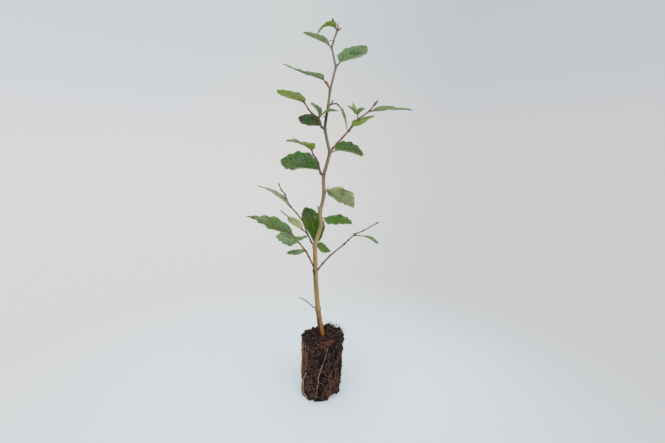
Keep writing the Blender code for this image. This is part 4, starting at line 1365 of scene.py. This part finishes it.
twig_lines = {bark: [] for bark in TWIG_BARKS}
twig_turns = []
knob_places = []
stalk_lines = {tone: [] for tone in STALK_SKINS}
leaf_places = []
for spray in SPRAYS:
    path = grow(KNOTS[spray.knot] + Vector((0.0, 0.0, spray.lift)), spray.runs)
    lines = twig_lines[spray.bark] if len(spray.runs) > 1 else stalk_lines[spray.stalk]
    knobs = [(point_along(path, at), swelling) for at, swelling in spray.knobs]
    knob_places += [place for place, swelling in knobs]
    lines.append(twig_line(path, *spray.radii, knobs=knobs))
    twig_turns += path[1:-1]
    carriers = [(path, leaf) for leaf in spray.leaves]
    if spray.side_runs:
        side = grow(point_along(path, spray.side_at), spray.side_runs)
        twig_lines[spray.bark].append(twig_line(side, STALK_RADIUS, STALK_RADIUS * 0.9))
        carriers += [(side, leaf) for leaf in spray.side_leaves]
    for carrier, leaf in carriers:
        stalk = grow(point_along(carrier, leaf.at), leaf.stalk)
        base = stalk[-1].copy()
        stalk.append(base + direction(leaf.heading, leaf.rise) * STALK_SINK)
        stalk_lines[spray.stalk].append(
            twig_line(stalk, STALK_RADIUS * 1.1, STALK_RADIUS * 0.7, len(leaf.stalk) > 0))
        leaf_places.append((spray, leaf, base))
BOUGHS = [name for spray in SPRAYS for name in spray.nodes if name.startswith("bough")]
twigs = [swept(twig_lines[bark], 12, 0.0005, finish, 0.25, 1500.0) for bark, finish in TWIG_BARKS.items()]
for mesh in twigs:
    mark_knots(mesh, twig_turns + knob_places, TWIG_KNOT_REACH)
finish_piece("twigs", twigs, BOUGHS)
stalks = [swept(stalk_lines[tone], 10, 0.0005, skin, 0.15, 1500.0) for tone, skin in STALK_SKINS.items()]
for mesh in stalks:
    mark_knots(mesh, knob_places, TWIG_KNOT_REACH)
finish_piece("leaf_stalks", stalks)
dead_path = grow(KNOTS[1] + Vector((0.0, 0.0, 0.0015)), DEAD_TWIG_RUNS)
finish_piece(
    "dead_twig", [swept([twig_line(dead_path, 0.00062, 0.0003)], 10, 0.0004, DEAD_BARK, 0.5, 1800.0)],
    ["twig_01_dead"],
)


# Buds: slender coppery spindles wrapped in overlapping dry scales, at the tip of each twig, at some
# knots of the stem and in the angle of each leaf stalk.
def bud_tree():
    """A scaly spindle on every point, along its own way, as long and thick as its own size says."""
    tree, given, out = new_tree(
        "scaly_bud", "GeometryNodeTree",
        {"Places": "Geometry", "Scales Up": "Float", "Scale Edge": "Float", "Material": "Material"},
        {"Geometry": "Geometry"},
    )
    sides, rows = 14, 30
    sheet = put(tree, "GeometryNodeMeshGrid",
                {"Size X": 1.0, "Size Y": 1.0, "Vertices X": rows, "Vertices Y": sides + 1})
    spot = put(tree, "ShaderNodeSeparateXYZ", {"Vector": put(tree, "GeometryNodeInputPosition").outputs[0]})
    t = Term(tree, spot.outputs["X"]) + 0.5
    round_turn = (Term(tree, spot.outputs["Y"]) + 0.5) * -math.tau
    body = ((t ** 0.75) * math.pi).sin().at_least(0.0) ** 0.85 * (1.0 - t * 0.25)
    body = (body * 1.1 + (1.0 - t) ** 6.0 * 0.6) * (t * 60.0).at_most(1.0)
    scale_step = (t * given["Scales Up"] + round_turn * (2.0 / math.tau)).fraction()
    skin = body * (1.0 + (0.5 - scale_step) * given["Scale Edge"])
    where = put(tree, "ShaderNodeCombineXYZ", {"X": skin * round_turn.cos(), "Y": skin * round_turn.sin(), "Z": t})
    spindle = put(tree, "GeometryNodeSetPosition",
                  {"Geometry": sheet.outputs["Mesh"], "Position": where.outputs[0]})
    shut = put(tree, "GeometryNodeMergeByDistance",
               {"Geometry": spindle.outputs["Geometry"], "Distance": 0.004})
    way = put(tree, "GeometryNodeInputNamedAttribute", {"Name": "way"}, data_type="FLOAT_VECTOR")
    size = put(tree, "GeometryNodeInputNamedAttribute", {"Name": "size"}, data_type="FLOAT_VECTOR")
    turned = put(tree, "FunctionNodeAlignRotationToVector", {"Vector": way.outputs["Attribute"]}, axis="Z")
    buds = put(
        tree, "GeometryNodeInstanceOnPoints",
        {"Points": given["Places"], "Instance": shut.outputs["Geometry"],
         "Rotation": turned.outputs["Rotation"], "Scale": size.outputs["Attribute"]},
    )
    solid = put(tree, "GeometryNodeRealizeInstances", {"Geometry": buds.outputs["Instances"]})
    done = put(tree, "GeometryNodeSetMaterial",
               {"Geometry": solid.outputs["Geometry"], "Material": given["Material"]})
    feed(tree, out.inputs["Geometry"], done.outputs["Geometry"])
    return tree


STEM_BUDS = {
    1: (Bud(length=0.0045, heading=0, rise=30, radius=0.0012),),
    4: (Bud(length=0.0045, heading=0, rise=35),),
    5: (Bud(length=0.0075, heading=180, rise=62),),
    14: (
        Bud(length=0.0090, heading=0, rise=84, radius=0.0008),
        Bud(length=0.0060, heading=0, rise=32, radius=0.0008),
    ),
}
AXIL_BUD = 0.0030
AXIL_RADIUS = 0.00065
BUD_SCALES = grain_material("bud_scales", (0.180, 0.090, 0.038), (0.420, 0.260, 0.130), 1200.0, 0.45, 0.5, 0.5)


def bud_places():
    """A mesh of points, one for each bud, that hold the way it points and its size."""
    places = [(KNOTS[knot], bud) for knot, buds in STEM_BUDS.items() for bud in buds]
    for spray in SPRAYS:
        path = grow(KNOTS[spray.knot] + Vector((0.0, 0.0, spray.lift)), spray.runs)
        places += [(point_along(path, bud.at), bud) for bud in spray.buds]
        if len(spray.runs) > 1:
            for leaf in spray.leaves:
                ahead = point_along(path, leaf.at + 0.003) - point_along(path, leaf.at)
                if ahead.length > 0.001:
                    slant = ahead.normalized() * 1.5 + direction(leaf.heading, leaf.rise)
                    heading = math.degrees(math.atan2(slant.y, slant.x))
                    rise = math.degrees(math.atan2(slant.z, math.hypot(slant.x, slant.y)))
                    places.append((point_along(path, leaf.at),
                                   Bud(length=AXIL_BUD, heading=heading, rise=rise, radius=AXIL_RADIUS)))
    mesh = bpy.data.meshes.new("bud_places")
    mesh.from_pydata([place for place, bud in places], [], [])
    way = mesh.attributes.new("way", "FLOAT_VECTOR", "POINT")
    size = mesh.attributes.new("size", "FLOAT_VECTOR", "POINT")
    for i, (place, bud) in enumerate(places):
        way.data[i].vector = direction(bud.heading, bud.rise)
        size.data[i].vector = (bud.radius, bud.radius, bud.length)
    return mesh


bud_settings = {"Scales Up": 5.0, "Scale Edge": 0.22, "Material": BUD_SCALES}
finish_piece("buds", [shaped(bud_tree(), bud_settings, bud_places())], sharp=50)


# Stipules and stubs: dry brown threads that are left of the scales between which a young leaf unfolded,
# two curled leaf teeth and two short stubs on the stem. Skin, radius at each end and points in
# millimetres; each starts on its leaf, its stalk or the stem.
STIPULES = (
    ("brown", 0.26, 0.16, ((9.9, -4.9, 410.0), (12.4, -2.0, 412.8), (15.6, -1.0, 413.3), (17.4, 0.0, 412.7))),
    ("brown", 0.30, 0.14, ((-18.4, -36.5, 302.4), (-21.8, -37.5, 304.7), (-24.9, -38.5, 306.4))),
    ("green", 1.30, 0.80, ((15.5, -14.2, 427.2), (15.4, -14.3, 428.4), (15.2, -14.3, 429.7))),
    ("green", 0.50, 0.20, ((21.8, 10.3, 399.8), (20.7, 10.7, 401.3), (19.6, 10.3, 402.8))),
    ("green", 0.30, 0.14, ((27.0, -8.3, 337.6), (27.5, -8.3, 341.3))),
    ("brown", 0.60, 0.35, ((8.5, 0.6, 332.6), (6.4, -0.4, 333.0), (4.4, -0.8, 334.2))),
    ("brown", 0.50, 0.25, ((1.4, -0.4, 206.2), (3.5, -0.8, 206.7), (5.1, -1.0, 208.4))),
)
STIPULE_SKINS = {
    "brown": grain_material("stipule_brown", (0.060, 0.036, 0.026), (0.190, 0.130, 0.100), 900.0, 0.7, 0.2),
    "green": grain_material("stipule_green", (0.100, 0.130, 0.070), (0.220, 0.270, 0.170), 900.0, 0.6, 0.2),
}
stipule_lines = {kind: [] for kind in STIPULE_SKINS}
for kind, first, last, points in STIPULES:
    line = rounded([Vector(point) / 1000 for point in points], 6)
    stipule_lines[kind].append(tapering(line, first / 1000, last / 1000))
finish_piece("stipules", [swept(stipule_lines[kind], 8, 0.0004, skin) for kind, skin in STIPULE_SKINS.items()])


# Leaves: broad thin blades with a pale midrib, seven pairs of straight side veins, the skin puffed up
# between them, and a wavy margin. The upper side is green and a little shiny, the underside paler.
LEAF_BELLY = 0.88
LEAF_POINT_FROM = 0.35
LEAF_FULLNESS = 0.78


def blade_tree():
    """A leaf that starts at the origin and points along X, its upper side up: bent along its midrib,
    folded on it and twisted about it, as thick as the thickness says."""
    tree, given, out = new_tree(
        "beech_blade", "GeometryNodeTree",
        {"Length": "Float", "Width": "Float", "Arch": "Float", "Fold": "Float", "Twist": "Float",
         "Point": "Float",
         "Thickness": "Float", "Vein Pairs": "Float", "Vein Depth": "Float", "Scallop": "Float",
         "Margin Wave": "Float", "Warp": "Float", "Seed": "Float", "Upper": "Material",
         "Underside": "Material"},
        {"Geometry": "Geometry"},
    )
    rows, columns = 57, 29
    sheet = put(tree, "GeometryNodeMeshGrid",
                {"Size X": 1.0, "Size Y": 2.0, "Vertices X": rows, "Vertices Y": columns})
    spot = put(tree, "ShaderNodeSeparateXYZ", {"Vector": put(tree, "GeometryNodeInputPosition").outputs[0]})
    t = Term(tree, spot.outputs["X"]) + 0.5
    v = -Term(tree, spot.outputs["Y"])
    reach = v.abs()
    fullness = ((t ** LEAF_BELLY) * math.pi).sin().at_least(0.0) ** LEAF_FULLNESS
    outer = ((t - LEAF_POINT_FROM) / LEAF_POINT_FROM).at_least(0.0).at_most(1.0)
    fullness = fullness * (1.0 - given["Point"] * outer ** 2.0 * (3.0 - outer * 2.0))
    half = given["Width"] * 0.5 * fullness
    slant = reach * half / given["Length"] * (0.75 + reach * 0.35)
    veins = (t - slant * 1.05 + 0.02) * given["Vein Pairs"]
    puff = (veins * math.pi).sin().abs()
    spread = 1.0 + (puff - 0.6) * given["Scallop"] * reach ** 3.0
    half = (half * spread).at_least(0.00016)
    place = put(tree, "ShaderNodeCombineXYZ", {"X": t * 3.0, "Y": v, "Z": given["Seed"]})
    wander = put(tree, "ShaderNodeTexNoise", {"Vector": place.outputs[0], "Scale": 1.6, "Detail": 1.0})
    warp = (Term(tree, wander.outputs["Fac"]) - 0.5) * given["Warp"] * (t * 4.0).at_most(1.0)
    wave = (veins * math.pi + given["Seed"] + v).sin() * given["Margin Wave"] * reach ** 2.5
    trough = (reach * 12.0).at_most(1.0) * (1.0 - reach ** 6.0 * 0.5)
    height = (puff ** 0.7 - 0.6) * given["Vein Depth"] * trough + (warp + wave) * (fullness + 0.1)
    across = v * half * given["Fold"].cos()
    proud = reach * half * given["Fold"].sin() + height
    turn = given["Twist"] * t
    bend = given["Arch"] * t
    spine_x = given["Length"] * bend.sin() / given["Arch"]
    spine_z = given["Length"] * (bend.cos() - 1.0) / given["Arch"]
    x = spine_x + bend.sin() * (turn.sin() * across + turn.cos() * proud)
    y = turn.sin() * proud - turn.cos() * across
    z = spine_z + bend.cos() * (turn.sin() * across + turn.cos() * proud)
    where = put(tree, "ShaderNodeCombineXYZ", {"X": x, "Y": y, "Z": z})
    chart = put(tree, "ShaderNodeCombineXYZ", {"X": t, "Y": v, "Z": veins})
    kept = put(tree, "GeometryNodeStoreNamedAttribute",
               {"Geometry": sheet.outputs["Mesh"], "Name": "blade"},
               data_type="FLOAT_VECTOR", domain="POINT")
    feed(tree, next(s for s in kept.inputs if s.enabled and s.name == "Value"), chart.outputs[0])
    skin = put(tree, "GeometryNodeSetPosition",
               {"Geometry": kept.outputs["Geometry"], "Position": where.outputs[0]})
    raised = put(tree, "GeometryNodeExtrudeMesh",
                 {"Mesh": skin.outputs["Geometry"], "Offset Scale": given["Thickness"], "Individual": False})
    upper = put(tree, "GeometryNodeSetMaterial",
                {"Geometry": raised.outputs["Mesh"], "Material": given["Upper"]})
    back = put(tree, "GeometryNodeFlipFaces", {"Mesh": skin.outputs["Geometry"]})
    lower = put(tree, "GeometryNodeSetMaterial",
                {"Geometry": back.outputs["Mesh"], "Material": given["Underside"]})
    both = put(tree, "GeometryNodeJoinGeometry")
    feed(tree, both.inputs["Geometry"], upper.outputs["Geometry"])
    feed(tree, both.inputs["Geometry"], lower.outputs["Geometry"])
    shut = put(tree, "GeometryNodeMergeByDistance",
               {"Geometry": both.outputs["Geometry"], "Distance": 0.00001})
    feed(tree, out.inputs["Geometry"], shut.outputs["Geometry"])
    return tree


def leaf_skin_group():
    """Colours of a leaf: painted shade along the sunk veins and painted light where the skin is puffed up,
    brighter towards the margin and in blotches, with the midrib and the side veins drawn in."""
    tree, given, out = new_tree(
        "leaf_skin", "ShaderNodeTree",
        {"Blade": "Vector", "Place": "Vector", "Dark": "Color", "Light": "Color", "Tint": "Color",
         "Tinted": "Float", "Vein": "Color", "Vein Strength": "Float"},
        {"Color": "Color", "Height": "Float", "Roughness": "Float"},
    )
    chart = put(tree, "ShaderNodeSeparateXYZ", {"Vector": given["Blade"]})
    reach = Term(tree, chart.outputs["Y"]).abs()
    step = Term(tree, chart.outputs["Z"]).fraction()
    from_vein = (step - 0.5).abs() * 2.0
    puffed = 1.0 - from_vein.ramp(0.25, 1.0)
    mottle = put(tree, "ShaderNodeTexNoise",
                 {"Vector": given["Place"], "Scale": 190.0, "Detail": 2.0, "Roughness": 0.5})
    blotch = Term(tree, mottle.outputs["Fac"]).ramp(0.32, 0.68)
    # Painted light and shade on the relief: lighter on the puffed skin, darker in the troughs along the veins.
    light = (puffed * 0.45 + reach ** 1.6 * 0.45 + blotch * 0.35 - 0.12).at_most(1.0).at_least(0.0)
    tint = put(tree, "ShaderNodeVectorMath", {"Vector": given["Tint"]}, operation="SCALE")
    feed(tree, tint.inputs["Scale"], light * 0.7 + 0.65)
    colour = blend(tree, given["Tinted"], blend(tree, light, given["Dark"], given["Light"]), tint.outputs[0])
    side_vein = from_vein.ramp(0.86, 0.97) * (1.0 - reach.ramp(0.75, 1.0)) * 0.6
    midrib = 1.0 - reach.ramp(0.035, 0.085)
    vein = side_vein.reckon("MAXIMUM", midrib) * given["Vein Strength"]
    feed(tree, out.inputs["Color"], blend(tree, vein, colour, given["Vein"]))
    net = put(tree, "ShaderNodeTexVoronoi", {"Vector": given["Place"], "Scale": 1500.0},
              feature="DISTANCE_TO_EDGE")
    feed(tree, out.inputs["Height"], Term(tree, net.outputs["Distance"]).at_most(0.25) + vein * 0.4)
    feed(tree, out.inputs["Roughness"], blotch * 0.12 + 0.40)
    return tree


LEAF_SKIN = leaf_skin_group()


def leaf_material(name, dark, light, vein, vein_strength, gloss, softness=0.0):
    """A green of its own with the common pattern of veins."""
    finish, tree, shader = new_material("leaf_" + name, 0.45, gloss)
    pattern = put(tree, "ShaderNodeGroup", {}, node_tree=LEAF_SKIN)
    chart = put(tree, "ShaderNodeAttribute", attribute_name="blade")
    tint = put(tree, "ShaderNodeAttribute", attribute_name="tint").outputs["Vector"]
    tinted = put(tree, "ShaderNodeAttribute", attribute_name="tinted").outputs["Fac"]
    place = put(tree, "ShaderNodeTexCoord").outputs["Object"]
    for label, item in (("Blade", chart.outputs["Vector"]), ("Place", place), ("Dark", rgb(dark)),
                        ("Light", rgb(light)), ("Tint", tint), ("Tinted", tinted), ("Vein", rgb(vein)),
                        ("Vein Strength", vein_strength)):
        feed(tree, pattern.inputs[label], item)
    feed(tree, shader.inputs["Base Color"], pattern.outputs["Color"])
    feed(tree, shader.inputs["Roughness"], Term(tree, pattern.outputs["Roughness"]) + softness)
    relief(tree, shader, pattern.outputs["Height"], 0.00002)
    return finish


# Greens of the upper side: along the veins (painted shade), puffed up (painted light), and the veins themselves.
# The bright green is partly painted light coming through the blade, the blue and sage partly a painted sheen.
UPPER_GREENS = {
    "dusky": ((0.022, 0.060, 0.008), (0.115, 0.150, 0.056), (0.140, 0.165, 0.070)),
    "deep": ((0.031, 0.092, 0.005), (0.165, 0.245, 0.096), (0.190, 0.260, 0.100)),
    "lush": ((0.031, 0.086, 0.001), (0.150, 0.215, 0.042), (0.200, 0.250, 0.060)),
    "mid": ((0.060, 0.120, 0.016), (0.210, 0.300, 0.110), (0.270, 0.340, 0.150)),
    "fresh": ((0.048, 0.120, 0.010), (0.175, 0.270, 0.078), (0.220, 0.310, 0.110)),
    "blue": ((0.070, 0.145, 0.038), (0.240, 0.345, 0.160), (0.280, 0.370, 0.190)),
    "bright": ((0.108, 0.200, 0.012), (0.320, 0.410, 0.115), (0.380, 0.440, 0.160)),
    "sage": ((0.094, 0.163, 0.046), (0.265, 0.360, 0.162), (0.320, 0.390, 0.210)),
}
# Greens of the underside, in the same three parts: paler than the upper side, and brightened with painted light
# for the light that comes through the blade
UNDER_GREENS = {
    "pale": ((0.290, 0.350, 0.150), (0.510, 0.560, 0.295), (0.580, 0.600, 0.360)),
    "palest": ((0.390, 0.440, 0.225), (0.600, 0.640, 0.390), (0.660, 0.680, 0.450)),
    "cream": ((0.500, 0.540, 0.270), (0.740, 0.770, 0.450), (0.780, 0.790, 0.500)),
    "sage": ((0.225, 0.325, 0.135), (0.450, 0.560, 0.290), (0.510, 0.590, 0.350)),
    "bright": ((0.270, 0.370, 0.055), (0.510, 0.600, 0.190), (0.570, 0.630, 0.260)),
}
# Tints that show in places on a blade: partly the leaf's own colour, such as brown blotches and greener patches,
# partly painted light and shade, such as darker patches of shade, pale grey and blue sheen, and yellow-green where
# light comes through.
TINTS = {
    "teal": (0.038, 0.087, 0.046),
    "forest": (0.028, 0.110, 0.002),
    "leaf": (0.060, 0.185, 0.022),
    "spring": (0.115, 0.250, 0.018),
    "lime": (0.220, 0.370, 0.030),
    "olive": (0.170, 0.210, 0.045),
    "straw": (0.410, 0.440, 0.240),
    "brown": (0.130, 0.098, 0.020),
    "blue": (0.130, 0.235, 0.140),
    "ash": (0.290, 0.360, 0.240),
    "grey": (0.105, 0.138, 0.072),
    "dark": (0.032, 0.048, 0.012),
}
TINT_STRENGTH = 0.85
ACROSS_SHARE = 0.3
UPPER = {name: leaf_material(name, *greens, 0.5, 0.13) for name, greens in UPPER_GREENS.items()}
UNDER = {name: leaf_material("under_" + name, *greens, 0.8, 0.12, 0.15) for name, greens in UNDER_GREENS.items()}
BLADE = blade_tree()
BLADE_THICKNESS = 0.00032


def leaf_stand(leaf, base):
    """Where a blade stands: its base, with X ahead, Y to the side and Z out of the upper side."""
    ahead = direction(leaf.heading, leaf.rise)
    upright = (Vector((0.0, 0.0, 1.0)) - ahead * ahead.z).normalized()
    sideways = ahead.cross(upright)
    roll = math.radians(leaf.roll)
    up = upright * math.cos(roll) + sideways * math.sin(roll)
    stand = Matrix((ahead, up.cross(ahead), up)).transposed().to_4x4()
    stand.translation = base
    return stand


def mark_tints(mesh, tints):
    """Store the tint of each point of a blade and how strong it is. A tint is a name, how far along the
    blade and across it its spot is, and the spot's reach as a share of the length."""
    mesh.attributes.new("tint", "FLOAT_VECTOR", "POINT")
    mesh.attributes.new("tinted", "FLOAT", "POINT")
    tint, tinted, chart = (mesh.attributes[name].data for name in ("tint", "tinted", "blade"))
    for i in range(len(mesh.vertices)):
        along, across, veins = chart[i].vector
        total = 0.0
        colour = Vector((0.0, 0.0, 0.0))
        for name, at, aside, reach in tints:
            gap = math.hypot(along - at, (across - aside) * ACROSS_SHARE) / reach
            share = math.exp(-gap * gap)
            total += share
            colour += Vector(TINTS[name]) * share
        tint[i].vector = colour / total if total > 1e-6 else colour
        tinted[i].value = min(total, 1.0) * TINT_STRENGTH


def blade_mesh(leaf, base, seed):
    made = shaped(BLADE, {
        "Length": leaf.length,
        "Width": leaf.width,
        "Arch": math.radians(leaf.arch) or 1e-4,
        "Fold": math.radians(leaf.fold),
        "Twist": math.radians(leaf.twist),
        "Point": leaf.point,
        "Thickness": BLADE_THICKNESS,
        "Vein Pairs": 7.0,
        "Vein Depth": leaf.width * 0.018,
        "Scallop": 0.06 * leaf.wavy,
        "Margin Wave": leaf.width * 0.035 * leaf.wavy,
        "Warp": leaf.width * 0.10,
        "Seed": seed * 1.7,
        "Upper": UPPER[leaf.tone],
        "Underside": UNDER[leaf.under],
    })
    mark_tints(made, leaf.tints)
    made.transform(leaf_stand(leaf, base))
    return made


LEAF_PIECES = {"leaf_deep": [], "leaf_blue": [], "leaf_pale": [], "leaf_bright": []}
for seed, (spray, leaf, base) in enumerate(leaf_places):
    LEAF_PIECES[spray.slot].append(blade_mesh(leaf, base, seed))
for slot, blades in LEAF_PIECES.items():
    nodes = [name for spray in SPRAYS if spray.slot == slot for name in spray.nodes
             if name.startswith("foliage")]
    finish_piece(slot.replace("leaf", "leaves"), blades, nodes, sharp=70)
